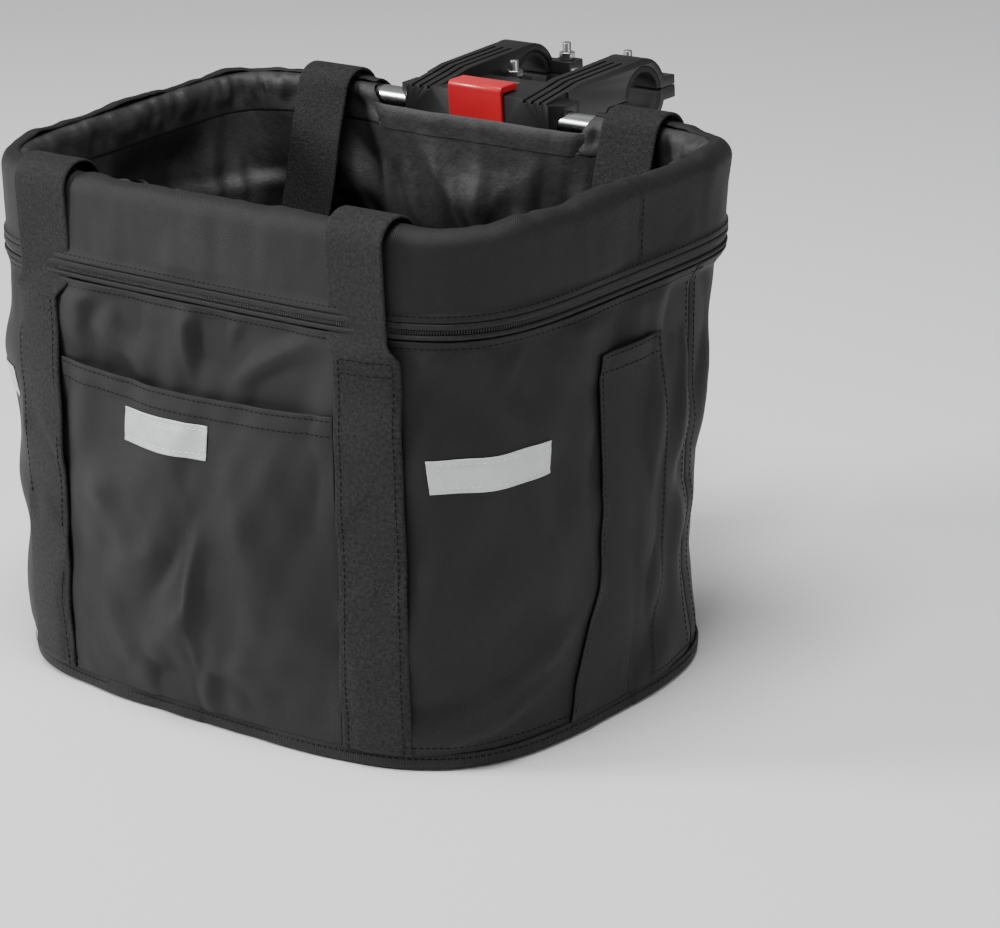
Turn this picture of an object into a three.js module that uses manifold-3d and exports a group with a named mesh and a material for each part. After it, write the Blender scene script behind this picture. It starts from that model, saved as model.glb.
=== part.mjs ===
// Handlebar basket: a fabric basket on an aluminium hoop, with a quick-release bracket for the bar.
// Millimetres, +Z up. The origin is the middle of the base's underside, the front of the basket
// faces -Y and the handlebar runs along X behind it.
import * as THREE from 'three';
import { mergeVertices } from 'three/addons/utils/BufferGeometryUtils.js';
import Module from 'manifold-3d';

const wasm = await Module();
wasm.setup();

// ---- driving dimensions -------------------------------------------------------------------------
const RIM_TOP = 267.5; // top of the fabric sleeve round the hoop
// Plan outlines: rounded rectangles, with a squareness for the front and the back corners.
const RIM = { width: 347, depth: 236, shift: 0, front: 4.9, back: 6.4 };
const BASE = { width: 339, depth: 258, shift: -10, front: 3.7, back: 2.8 };
const FLARE = 0.02; // the back is this share wider than the middle, and the front narrower
const RING_STEPS = 60; // flat stretches round the basket
const FIT = 0.3; // gap between pieces that touch

const FABRIC = 1.6; // outer panels, with their foam backing
const LINING = 0.8;
const LINING_INSET = 2; // from the outside of the wall to the lining

const HOOP_R = 6;
const HOOP_WALL = 1.2;
const SLEEVE_R = 7.9; // outside radius of the fabric over the hoop
const SLEEVE_LEAF = 1;
const SLEEVE_INNER_BOTTOM = 247;
const HOOP_Z = RIM_TOP - SLEEVE_R;
const HOOP_Y = RIM.depth / 2 - SLEEVE_R; // the hoop's middle, at the back of the basket
const SLEEVE_GAP = 70; // half the length of bare hoop at the back

const ZIP_LOW = 216;
const ZIP_HIGH = 224;
const ZIP_COIL = 3.4; // height of the closed coil
const SIDE_SEAM_X = 110; // front panel to side panels, under the straps
const BACK_SEAM_Y = 56; // side panels to back panel
const BINDING_TOP = 7.4;

const STRAP_X = 109; // middle of each webbing strap
const STRAP_WIDTH = 35;
const WEBBING = 1.8;
const STRAP_STANDOFF = 1.3;
const STRAP_TOP = 258;
const HANDLE_R = 12.9; // webbing's middle to the line that the handle swings about
const HANDLE_DROP = 150;
const HANDLE_BEND = 60; // radius of the handle's lower corners
const FRONT_SWING_Y = -106.8;
const REAR_SWING_Y = 108.5;
const REAR_LEAN = THREE.MathUtils.degToRad(18); // the rear handle flops into the basket

const POCKET_HALF = 90.8;
const POCKET_TOP = 174;
const POCKET_SLACK = 8; // how far the front pocket stands off in its middle
const POCKET_SHEET = 1;
const SLEEVE_POCKET = { y: 2.5, half: 25.5, top: 190, slack: 8 };
const PATCH = { left: -43, right: 14, low: 141.5, high: 158.5, thick: 0.5 };

const BLOCK_HALF = 48; // half width of the carrier's front and of the bracket
const BLOCK_FRONT = 101;
const BLOCK_BACK = 118.6;
const BLOCK_LOW = HOOP_Z - HOOP_R; // level of the tube's underside
const BLOCK_TOP = 272;
const CHEEK = { half: 55, front: 106, top: 269.6 }; // slanted ends of the carrier
const RAMP = { low: 270.8, high: 273.4 }; // top of the carrier in front of each arm
const KEEPER = 2.5;
const BOSS_HALF = 26;
const BOSS_BACK = 130.4;
const SELF_TAPPER = { shank: 1.3, head: 2.6, hole: 1.6, clearance: 1.8 };
const KEEPER_SCREW = { x: 22.3, y: 125, length: 13 };
const HOOP_SCREW = { x: 38, y: HOOP_Y, length: 6 };

const BUTTON_HALF = 18;
const BUTTON_WALL = 2;
const BUTTON_TRAVEL = 2.5;
const BUTTON = { front: BLOCK_FRONT - 1.4, low: 256, lip: BLOCK_TOP + 0.4, lipBack: 114, top: 276.4 };
const SPRING = { x: 13, z: 269, radius: 1.6, wire: 0.3, length: 10.8, turns: 4 };
const TONGUE = { half: 18, front: 119.4, back: 123, low: 244.5, top: 264.6 };
const NECK = { half: 8, catchBack: 129.3, catchLow: 260.6, back: 134, top: 256.4 }; // behind the tongue
const LATCH_HALF = 6;
const LATCH = { low: 256.9, under: 266.9, top: 270.6, back: 131.9 };

const ARM_INNER = 27.5;
const ARM_FRONT = 119;
const ARM_CREST = [131, 275.4]; // the arm's top rises steeply up to here, then hardly at all
const GROOVE_END = [172, 276.6];
const BAR_Y = 184;
const BAR_Z = 257;
const BAR_R = 12.7; // a 25.4 mm handlebar, on the shims
const JAW_BORE = 15.9; // and a 31.8 mm one without them
const JAW_WALL = 4;
const LUG = 7; // thickness of the lugs that the clamp screws draw together
const LUG_INNER = 14.5;
const LUG_BACK = 213;
const LUG_FRONT = 153;
const CLAMP_SCREW = {
  x: 21, front: 160.5, back: 207.5, radius: 2.4, hole: 2.8, head: 4.2, headHeight: 4.6, length: 24, nut: 4.5,
};
const GROOVES = [32.5, 37.8, 43.1]; // finger grooves along the top of each arm

// ---- materials ----------------------------------------------------------------------------------
const finish = (color, roughness, metalness = 0) =>
  new THREE.MeshStandardMaterial({ color, roughness, metalness });
const oxford = () => finish(0x2b2b2d, 0.85);
const webbing = () => finish(0x38383a, 0.9);
const nylon = () => finish(0x232325, 0.55);
const plastic = () => finish(0x1c1c1e, 0.5);
const steel = () => finish(0xb9bcc0, 0.3, 1);
const reflective = () => finish(0xc9cccd, 0.45);

// ---- solids -------------------------------------------------------------------------------------
function solid(geometry) {
  geometry.deleteAttribute('normal');
  geometry.deleteAttribute('uv');
  const merged = mergeVertices(geometry);
  const vertProperties = Float32Array.from(merged.attributes.position.array);
  const triVerts = Uint32Array.from(merged.index.array);
  let shape = new wasm.Manifold(new wasm.Mesh({ numProp: 3, vertProperties, triVerts }));
  if (shape.volume() < 0) {
    for (let k = 0; k < triVerts.length; k += 3) {
      [triVerts[k], triVerts[k + 1]] = [triVerts[k + 1], triVerts[k]];
    }
    shape = new wasm.Manifold(new wasm.Mesh({ numProp: 3, vertProperties, triVerts }));
  }
  return shape;
}

function box([x0, x1], [y0, y1], [z0, z1]) {
  const geometry = new THREE.BoxGeometry(x1 - x0, y1 - y0, z1 - z0);
  return solid(geometry.translate((x0 + x1) / 2, (y0 + y1) / 2, (z0 + z1) / 2));
}

const TURNS = {
  x: (geometry) => geometry.rotateZ(Math.PI / 2),
  y: (geometry) => geometry,
  z: (geometry) => geometry.rotateX(Math.PI / 2),
};

// A rod along one axis, its middle at (x, y, z).
function rod(axis, radius, length, [x, y, z], sides = 20) {
  const geometry = new THREE.CylinderGeometry(radius, radius, length, sides);
  return solid(TURNS[axis](geometry).translate(x, y, z));
}

// A side view in (y, z), pushed along X from x0 to x1.
function slab(shape, x0, x1, curveSegments = 12) {
  const geometry = new THREE.ExtrudeGeometry(shape, {
    depth: x1 - x0, bevelEnabled: false, curveSegments,
  });
  geometry.applyMatrix4(new THREE.Matrix4().set(0, 0, 1, x0, 1, 0, 0, 0, 0, 1, 0, 0, 0, 0, 0, 1));
  return solid(geometry);
}

const basket = new THREE.Group();

function piece(name, shape, material, parent = basket) {
  const { vertProperties, triVerts } = shape.getMesh();
  const geometry = new THREE.BufferGeometry();
  geometry.setAttribute('position', new THREE.BufferAttribute(vertProperties, 3));
  geometry.setIndex(new THREE.BufferAttribute(triVerts, 1));
  geometry.computeVertexNormals();
  const mesh = new THREE.Mesh(geometry, material);
  mesh.name = name;
  parent.add(mesh);
  return mesh;
}

// ---- the basket's outline -----------------------------------------------------------------------
// The point of a plan outline whose outward normal is (nx, ny).
function pointFacing([nx, ny], plan) {
  const square = ny < 0 ? plan.front : plan.back;
  const [p, q] = [Math.abs((plan.width / 2) * nx), Math.abs((plan.depth / 2) * ny)];
  const power = square / (square - 1);
  const size = (p ** power + q ** power) ** (1 / square);
  const x = (Math.sign(nx) * p ** (power - 1)) / size;
  const y = (Math.sign(ny) * q ** (power - 1)) / size;
  return new THREE.Vector2(
    (x * (1 + FLARE * y) * plan.width) / 2, (y * plan.depth) / 2 + plan.shift,
  );
}

// The rim's outward normal in a direction seen from its middle.
function rimNormal(angle) {
  const [c, s] = [Math.cos(angle), Math.sin(angle)];
  const square = s < 0 ? RIM.front : RIM.back;
  const nx = (Math.sign(c) * Math.abs(c) ** (square - 1)) / RIM.width;
  const ny = (Math.sign(s) * Math.abs(s) ** (square - 1)) / RIM.depth;
  return [nx / Math.hypot(nx, ny), ny / Math.hypot(nx, ny)];
}

// Columns round the wall, evenly spaced along the rim. Each runs straight from base to rim
// and faces one way all the way up, so the wall between two columns is flat.
function makeColumns(count) {
  const fine = 1440;
  const rimAt = (k) => pointFacing(rimNormal((k / fine) * 2 * Math.PI), RIM);
  const lengths = [0];
  for (let k = 1; k <= fine; k++) lengths.push(lengths[k - 1] + rimAt(k).distanceTo(rimAt(k - 1)));
  return Array.from({ length: count }, (_, k) => {
    const goal = (k / count) * lengths[fine];
    const after = Math.max(1, lengths.findIndex((length) => length >= goal));
    const part = (goal - lengths[after - 1]) / (lengths[after] - lengths[after - 1]);
    const normal = rimNormal(((after - 1 + part) / fine) * 2 * Math.PI);
    return { normal, rim: pointFacing(normal, RIM), base: pointFacing(normal, BASE) };
  });
}
const COLUMNS = makeColumns(RING_STEPS);

// A point of the wall at a column, moved inwards by inset.
function wallPoint({ normal, rim, base }, z, inset) {
  const here = base.clone().lerp(rim, z / RIM_TOP);
  return new THREE.Vector3(here.x - normal[0] * inset, here.y - normal[1] * inset, z);
}

// A ring round the basket with a closed (inset, z) section: a lathe bent to the wall's outline.
function wallRing(section, slack = () => 0) {
  const spread = 400;
  const rim = [...section, section[0]].map(([inset, z]) => new THREE.Vector2(spread - inset, z));
  const geometry = new THREE.LatheGeometry(rim, RING_STEPS);
  const at = geometry.attributes.position;
  for (let k = 0; k < at.count; k++) {
    const turn = Math.atan2(at.getX(k), at.getZ(k)) / (2 * Math.PI);
    const column = COLUMNS[(Math.round(turn * RING_STEPS) + RING_STEPS) % RING_STEPS];
    const inset = Math.round((spread - Math.hypot(at.getX(k), at.getZ(k))) * 1000) / 1000;
    const plain = wallPoint(column, at.getY(k), inset);
    const moved = wallPoint(column, at.getY(k), inset - slack(plain));
    at.setXYZ(k, moved.x, moved.y, moved.z);
  }
  return solid(geometry);
}

// A sheet on the wall between two insets and two heights.
function wallSheet(inner, outer, levels, slack) {
  const up = levels.map((z) => [outer, z]);
  const down = levels.map((z) => [inner, z]).reverse();
  return wallRing([...up, ...down], slack);
}

// A flat plate that fills the outline.
function floorPlate(inset, z0, z1) {
  const edge = COLUMNS.map((column) => wallPoint(column, z0, inset));
  const shape = new THREE.Shape(edge.map((p) => new THREE.Vector2(p.x, p.y)));
  const geometry = new THREE.ExtrudeGeometry(shape, { depth: z1 - z0, bevelEnabled: false });
  return solid(geometry.translate(0, 0, z0));
}

const FAR = 400;
const FRONT = [-FAR, 0];
const BACK = [0, FAR];
const ALL = [-FAR, FAR];

// ---- fabric body --------------------------------------------------------------------------------
function makeSleeve() {
  const arc = (radius, from, to) =>
    Array.from({ length: 7 }, (_, k) => {
      const a = THREE.MathUtils.degToRad(from + ((to - from) * k) / 6);
      return [SLEEVE_R - radius * Math.cos(a), HOOP_Z + radius * Math.sin(a)];
    });
  const inside = SLEEVE_R - SLEEVE_LEAF;
  const section = [
    [0, ZIP_HIGH + FIT],
    ...arc(SLEEVE_R, 0, 180),
    [2 * SLEEVE_R, SLEEVE_INNER_BOTTOM],
    [2 * SLEEVE_R - SLEEVE_LEAF, SLEEVE_INNER_BOTTOM],
    ...arc(inside, 180, 0),
    [SLEEVE_LEAF, ZIP_HIGH + FIT],
  ];
  const gap = box([-SLEEVE_GAP, SLEEVE_GAP], BACK, [SLEEVE_INNER_BOTTOM - FIT, FAR]);
  piece('rim_sleeve', wallRing(section).subtract(gap), oxford());
}

function makePanels() {
  const wall = wallSheet(FABRIC, 0, [1.5, ZIP_LOW - FIT]);
  const seam = FIT / 2;
  const areas = {
    front_panel: box([-SIDE_SEAM_X + seam, SIDE_SEAM_X - seam], FRONT, ALL),
    right_side_panel: box([SIDE_SEAM_X + seam, FAR], [-FAR, BACK_SEAM_Y - seam], ALL),
    left_side_panel: box([-FAR, -SIDE_SEAM_X - seam], [-FAR, BACK_SEAM_Y - seam], ALL),
    back_panel: box(ALL, [BACK_SEAM_Y + seam, FAR], ALL),
  };
  for (const [name, area] of Object.entries(areas)) piece(name, wall.intersect(area), oxford());
}

function makeBase() {
  const boardLow = 1.5;
  const boardHigh = 4.5;
  piece('base_panel', floorPlate(0, 0, 1.2), oxford());
  piece('base_board', floorPlate(LINING_INSET, boardLow, boardHigh), finish(0x3a3a3a, 0.6));
  piece('bottom_binding', wallSheet(-FIT, -1.5, [0.4, BINDING_TOP]), webbing());

  const floor = boardHigh + FIT;
  const inner = LINING_INSET + LINING;
  const top = SLEEVE_INNER_BOTTOM - 0.5;
  const lean = 2 * SLEEVE_R - SLEEVE_LEAF - inner; // the lining hangs from the sleeve's inner leaf
  const section = [
    [LINING_INSET, floor], [LINING_INSET, ZIP_HIGH], [LINING_INSET + lean, top],
    [inner + lean, top], [inner, ZIP_HIGH], [inner, floor],
  ];
  piece('lining', wallRing(section).add(floorPlate(LINING_INSET, floor, floor + LINING)), nylon());
}

function makeZip() {
  const middle = (ZIP_LOW + ZIP_HIGH) / 2;
  const coil = [middle - ZIP_COIL / 2, middle + ZIP_COIL / 2];
  piece('zip_tape_lower', wallSheet(1.2, 0.2, [ZIP_LOW, coil[0] - FIT]), nylon());
  piece('zip_tape_upper', wallSheet(1.2, 0.2, [coil[1] + FIT, ZIP_HIGH]), nylon());
  piece('zip_coil', wallSheet(1.4, -0.8, coil), nylon());

  // The slider waits behind the right of the basket, inside the rear strap.
  const slider = new THREE.Group();
  slider.position.set(75, RIM.depth / 2 + 0.2, middle);
  basket.add(slider);
  const body = box([-4.5, 4.5], [1.3, 4.3], [-4.6, 4.6])
    .add(box([-1.6, -0.8], [4.2, 7], [-1, 3]))
    .add(box([0.8, 1.6], [4.2, 7], [-1, 3]))
    .subtract(rod('x', 0.7, 10, [0, 5.8, 1]));
  piece('zip_slider', body, steel(), slider);
  const tab = new THREE.Shape();
  tab.absarc(0, -21, 3.2, Math.PI, 2 * Math.PI);
  tab.lineTo(2.4, -4.4);
  tab.lineTo(0.5, -2.8);
  tab.lineTo(0.5, 1);
  tab.lineTo(-0.5, 1);
  tab.lineTo(-0.5, -2.8);
  tab.lineTo(-2.4, -4.4);
  const geometry = new THREE.ExtrudeGeometry(tab, { depth: 1.2, bevelEnabled: false, curveSegments: 8 });
  const blade = solid(geometry.rotateX(Math.PI / 2).translate(0, 6.4, 1));
  const puller = blade.add(rod('x', 0.5, 2.8, [0, 5.8, 1], 10));
  piece('zip_puller', puller, steel(), slider);
}

// ---- pockets and patches ------------------------------------------------------------------------
// The front pocket hangs slack: least at its sides and foot, most in its middle.
const frontSlack = ({ x, z }) =>
  POCKET_SLACK * Math.max(0, 1 - (x / POCKET_HALF) ** 2) * Math.min(1, z / 70);
const sideSlack = ({ y, z }) => {
  const across = Math.max(0, 1 - ((y - SLEEVE_POCKET.y) / SLEEVE_POCKET.half) ** 2);
  return SLEEVE_POCKET.slack * across * Math.min(1, z / 40);
};

function makePockets() {
  const foot = BINDING_TOP + FIT;
  const skin = [-FIT, -FIT - POCKET_SHEET];
  const front = wallSheet(...skin, [foot, 70, POCKET_TOP], frontSlack);
  piece('front_pocket', front.intersect(box([-POCKET_HALF, POCKET_HALF], FRONT, ALL)), oxford());

  const { y, half, top } = SLEEVE_POCKET;
  const sides = wallSheet(...skin, [foot, 40, top], sideSlack);
  const right = sides.intersect(box(BACK, [y - half, y + half], ALL));
  piece('right_side_pocket', right, oxford());
  piece('left_side_pocket', right.mirror([1, 0, 0]), oxford());
}

function makePatches() {
  const { left, right, low, high, thick } = PATCH;
  const onPocket = -2 * FIT - POCKET_SHEET;
  const front = wallSheet(onPocket, onPocket - thick, [low, high], frontSlack);
  piece('front_reflector', front.intersect(box([left, right], FRONT, ALL)), reflective());

  const corners = wallSheet(-FIT, -FIT - thick, [low, high]);
  const cornerY = [-FAR, -62];
  piece('right_reflector', corners.intersect(box([136, FAR], cornerY, ALL)), reflective());
  piece('left_reflector', corners.intersect(box([-FAR, -136], cornerY, ALL)), reflective());
}

// ---- webbing straps and carrying handles --------------------------------------------------------
function makeStraps() {
  const inner = -STRAP_STANDOFF;
  const web = wallSheet(inner, inner - WEBBING, [BINDING_TOP + FIT, STRAP_TOP]);
  const half = STRAP_WIDTH / 2;
  for (const [side, x] of [['left', -STRAP_X], ['right', STRAP_X]]) {
    const across = [x - half, x + half];
    piece(`front_${side}_strap`, web.intersect(box(across, FRONT, ALL)), webbing());
    piece(`rear_${side}_strap`, web.intersect(box(across, BACK, ALL)), webbing());
  }
}

// Where the webbing turns over the rim, from the outside strap to the handle.
function strapBend(swingY, fromDegrees, toDegrees) {
  const [from, to] = [fromDegrees, toDegrees].map(THREE.MathUtils.degToRad);
  const shape = new THREE.Shape();
  shape.absarc(swingY, HOOP_Z, HANDLE_R + WEBBING / 2, from, to);
  shape.absarc(swingY, HOOP_Z, HANDLE_R - WEBBING / 2, to, from, true);
  return slab(shape, -STRAP_WIDTH / 2, STRAP_WIDTH / 2);
}

// A loop of webbing that hangs from the swing line, seen along Y.
function handleLoop(innerSide) {
  const half = STRAP_WIDTH / 2;
  const outline = (leg, radius, drop, path, forward) => {
    const centre = leg - radius;
    const low = -drop + radius;
    if (forward) {
      path.moveTo(leg, -0.5);
      path.lineTo(leg, low);
      path.absarc(centre, low, radius, 0, -Math.PI / 2, true);
      path.absarc(-centre, low, radius, -Math.PI / 2, -Math.PI, true);
      path.lineTo(-leg, -0.5);
    } else {
      path.lineTo(-leg, -0.5);
      path.absarc(-centre, low, radius, -Math.PI, -Math.PI / 2);
      path.absarc(centre, low, radius, -Math.PI / 2, 0);
      path.lineTo(leg, -0.5);
    }
  };
  const shape = new THREE.Shape();
  outline(STRAP_X + half, HANDLE_BEND + half, HANDLE_DROP + half, shape, true);
  outline(STRAP_X - half, HANDLE_BEND - half, HANDLE_DROP - half, shape, false);
  const geometry = new THREE.ExtrudeGeometry(shape, {
    depth: WEBBING, bevelEnabled: false, curveSegments: 8,
  });
  geometry.rotateX(Math.PI / 2).translate(0, innerSide * HANDLE_R + WEBBING / 2, 0);
  return solid(geometry);
}

function makeHandles() {
  const leanDegrees = THREE.MathUtils.radToDeg(REAR_LEAN);
  for (const [side, x] of [['left', -STRAP_X], ['right', STRAP_X]]) {
    const front = strapBend(FRONT_SWING_Y, 2, 178);
    const rear = strapBend(REAR_SWING_Y, 2, 178 - leanDegrees);
    piece(`front_${side}_bend`, front, webbing()).position.x = x;
    piece(`rear_${side}_bend`, rear, webbing()).position.x = x;
  }
  const frontSwing = new THREE.Group();
  frontSwing.position.set(0, FRONT_SWING_Y, HOOP_Z);
  const rearSwing = new THREE.Group();
  rearSwing.position.set(0, REAR_SWING_Y, HOOP_Z);
  rearSwing.rotation.x = -REAR_LEAN;
  basket.add(frontSwing, rearSwing);
  piece('front_handle', handleLoop(1), webbing(), frontSwing);
  piece('rear_handle', handleLoop(-1), webbing(), rearSwing);
}

// ---- drawcord of the lining, with its spring lock -----------------------------------------------
const CORD_X = -157;
const CORD_Y = 10;
const LOCK_Z = 203;

function makeDrawcord() {
  const wall = -167.2;
  const half = [
    [wall, 7, 222], [wall + 4, 7, 221.6], [CORD_X - 1.6, 7, 218], [CORD_X, 7, 212],
    [CORD_X, 7, 203], [CORD_X, 7, 193], [CORD_X, 5, 183], [CORD_X, 3.5, 175],
    [CORD_X, 5.2, 168.4],
  ];
  const mirrored = half.map(([x, y, z]) => [x, 2 * CORD_Y - y, z]).reverse();
  const route = [...half, [CORD_X, CORD_Y, 166], ...mirrored];
  const path = new THREE.CatmullRomCurve3(route.map((p) => new THREE.Vector3(...p)), false, 'centripetal');
  const section = new THREE.Shape().absarc(0, 0, 1.3, 0, 2 * Math.PI);
  const geometry = new THREE.ExtrudeGeometry(section, {
    steps: 36, bevelEnabled: false, curveSegments: 4, extrudePath: path,
  });
  piece('drawcord', solid(geometry), webbing());

  const lock = new THREE.Group();
  lock.position.set(CORD_X, CORD_Y, LOCK_Z);
  basket.add(lock);
  const slot = box([-1.9, 1.9], [-5, 5], [-20, 20]);
  const barrel = rod('y', 7, 17, [0, 0, 0], 24)
    .subtract(rod('y', 5.3, 15, [0, -2.5, 0], 24))
    .subtract(slot);
  piece('cord_lock_body', barrel, plastic(), lock);
  const plunger = rod('y', 5, 10.4, [0, -3.6, 0], 24)
    .add(rod('y', 6, 2.4, [0, -13.2, 0], 24))
    .add(rod('y', 3.6, 4, [0, -10.4, 0], 24))
    .subtract(box([-1.9, 1.9], [-8.2, 5.2], [-20, 20]));
  piece('cord_lock_plunger', plunger, plastic(), lock);
}

// ---- hoop ---------------------------------------------------------------------------------------
function makeHoop() {
  const round = (radius, sides) =>
    wallRing(Array.from({ length: sides }, (_, k) => {
      const a = (k / sides) * 2 * Math.PI;
      return [SLEEVE_R + radius * Math.cos(a), HOOP_Z + radius * Math.sin(a)];
    }));
  // The tube's two ends meet at the back, on a plug inside them.
  let tube = round(HOOP_R, 10)
    .subtract(round(HOOP_R - HOOP_WALL, 8))
    .subtract(box([-1, 1], BACK, ALL));
  for (const x of [-HOOP_SCREW.x, HOOP_SCREW.x]) {
    tube = tube.subtract(rod('z', SELF_TAPPER.hole + 0.1, 8, [x, HOOP_Y, HOOP_Z - HOOP_R], 12));
  }
  piece('rim_hoop', tube, finish(0xc4c6c8, 0.3, 1));
  piece('hoop_joiner', rod('x', HOOP_R - HOOP_WALL - 0.5, 50, [0, HOOP_Y, HOOP_Z], 16), steel());
}

// ---- carrier: the block on the hoop -------------------------------------------------------------
function grooveCut(x, [y0, z0], [y1, z1]) {
  const [width, depth, overrun] = [2, 1.6, 1];
  const length = Math.hypot(y1 - y0, z1 - z0) + 2 * overrun;
  const geometry = new THREE.BoxGeometry(width, length, 2 * depth);
  geometry.rotateX(Math.atan2(z1 - z0, y1 - y0));
  return solid(geometry.translate(x, (y0 + y1) / 2, (z0 + z1) / 2));
}

/** The block seen from the front: flat sides and a slightly arched top. */
function blockShape() {
  const [foot, shoulder, arch] = [2, 1.6, 1.2];
  const view = new THREE.Shape();
  view.moveTo(foot - BLOCK_HALF, BLOCK_LOW);
  view.lineTo(BLOCK_HALF - foot, BLOCK_LOW);
  view.lineTo(BLOCK_HALF, BLOCK_LOW + foot);
  view.lineTo(BLOCK_HALF, BLOCK_TOP - 4);
  view.quadraticCurveTo(BLOCK_HALF, BLOCK_TOP - shoulder, BLOCK_HALF - 3, BLOCK_TOP - shoulder);
  view.quadraticCurveTo(0, BLOCK_TOP + arch, 3 - BLOCK_HALF, BLOCK_TOP - shoulder);
  view.quadraticCurveTo(-BLOCK_HALF, BLOCK_TOP - shoulder, -BLOCK_HALF, BLOCK_TOP - 4);
  view.lineTo(-BLOCK_HALF, BLOCK_LOW + foot);
  return view;
}

/** The end of the block beyond the arm, seen from above, with its slanted front corner. */
function cheek(sign) {
  const plan = new THREE.Shape();
  plan.moveTo(sign * (BLOCK_HALF - 2), BLOCK_FRONT);
  plan.lineTo(sign * (BLOCK_HALF - 1), BLOCK_FRONT);
  plan.lineTo(sign * CHEEK.half, CHEEK.front);
  plan.lineTo(sign * CHEEK.half, BLOCK_BACK);
  plan.lineTo(sign * (BLOCK_HALF - 2), BLOCK_BACK);
  const low = BLOCK_LOW + 2;
  const geometry = new THREE.ExtrudeGeometry(plan, { depth: CHEEK.top - low, bevelEnabled: false });
  return solid(geometry.translate(0, 0, low));
}

/** The ramp on top of the block that leads up to one arm. */
function ramp(sign) {
  const side = new THREE.Shape();
  side.moveTo(BLOCK_FRONT, BLOCK_TOP - 5);
  side.lineTo(BLOCK_BACK, BLOCK_TOP - 5);
  side.lineTo(BLOCK_BACK, RAMP.high);
  side.lineTo(BLOCK_FRONT, RAMP.low);
  return sign > 0 ? slab(side, ARM_INNER, BLOCK_HALF - 1) : slab(side, 1 - BLOCK_HALF, -ARM_INNER);
}

function makeCarrier() {
  const geometry = new THREE.ExtrudeGeometry(blockShape(), {
    depth: BLOCK_BACK - BLOCK_FRONT, bevelEnabled: false, curveSegments: 6,
  });
  let housing = solid(geometry.rotateX(Math.PI / 2).translate(0, BLOCK_BACK, 0));
  housing = housing.add(box([-BOSS_HALF, BOSS_HALF], [BLOCK_BACK - 1, BOSS_BACK], [BLOCK_LOW, 270]));
  for (const sign of [-1, 1]) housing = housing.add(cheek(sign)).add(ramp(sign));

  // The tongue slides up into the boss from below, with a little room all round it.
  const tongueHalf = TONGUE.half + 0.4;
  const tongueSpan = [TONGUE.front - 0.4, TONGUE.back + 0.4];
  const neckHalf = NECK.half + 0.4;
  const tongueRoof = TONGUE.top + 0.4;
  const bore = HOOP_R + 0.35;
  const buttonHalf = BUTTON_HALF + 0.5;
  const latchHalf = LATCH_HALF + 0.5;
  const cuts = [
    rod('x', bore, 200, [0, HOOP_Y, HOOP_Z], 24),
    box(ALL, [HOOP_Y - bore, HOOP_Y + bore], [0, HOOP_Z]),
    box([-buttonHalf, buttonHalf], [BLOCK_FRONT - 1, HOOP_Y - 5.8], [BUTTON.low - 0.5, FAR]),
    box([-buttonHalf, buttonHalf], [BLOCK_FRONT, BUTTON.lipBack + 3], [BLOCK_TOP - 0.4, FAR]),
    box([-tongueHalf, tongueHalf], tongueSpan, [0, tongueRoof]),
    box([-neckHalf, neckHalf], [TONGUE.back + 0.3, FAR], [0, tongueRoof]),
    box([-latchHalf, latchHalf], [BLOCK_FRONT, FAR], [LATCH.under - 0.4, FAR]),
    box([-latchHalf, latchHalf], [NECK.catchBack + 0.1, FAR], [0, FAR]),
  ];
  for (const x of [-SPRING.x, SPRING.x]) cuts.push(rod('y', 2.3, 12, [x, 108, SPRING.z], 12));
  for (const x of [-KEEPER_SCREW.x, KEEPER_SCREW.x]) {
    cuts.push(rod('z', SELF_TAPPER.hole, 24, [x, KEEPER_SCREW.y, BLOCK_LOW], 12));
  }
  for (const x of GROOVES.flatMap((g) => [-g, g])) {
    cuts.push(grooveCut(x, [BLOCK_FRONT, RAMP.low], [BLOCK_BACK, RAMP.high]));
  }
  for (const cut of cuts) housing = housing.subtract(cut);
  piece('carrier_housing', housing, plastic());

  const plateTop = BLOCK_LOW - FIT;
  const plate = [plateTop - KEEPER, plateTop];
  let keeper = box([1 - BLOCK_HALF, BLOCK_HALF - 1], [BLOCK_FRONT + 0.5, BLOCK_BACK], plate)
    .add(box([-BOSS_HALF, BOSS_HALF], [BLOCK_BACK - 1, BOSS_BACK], plate))
    .subtract(box([-tongueHalf, tongueHalf], tongueSpan, ALL))
    .subtract(box([-neckHalf, neckHalf], [TONGUE.back + 0.3, FAR], ALL));
  for (const { x, y } of [KEEPER_SCREW, HOOP_SCREW]) {
    for (const sign of [-1, 1]) {
      keeper = keeper.subtract(rod('z', SELF_TAPPER.clearance, 20, [sign * x, y, plateTop], 12));
    }
  }
  piece('carrier_keeper', keeper, plastic());

  // Pan-head screws from below: two hold the keeper, two stop the hoop from turning.
  for (const [name, { x, y, length }] of [['keeper_screw', KEEPER_SCREW], ['hoop_screw', HOOP_SCREW]]) {
    for (const [side, sign] of [['left', -1], ['right', 1]]) {
      const screw = rod('z', SELF_TAPPER.shank, length, [0, 0, length / 2], 10)
        .add(rod('z', SELF_TAPPER.head, 1.6, [0, 0, -0.6], 14));
      piece(`${name}_${side}`, screw, steel()).position.set(sign * x, y, plate[0] - 0.4);
    }
  }
}

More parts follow.
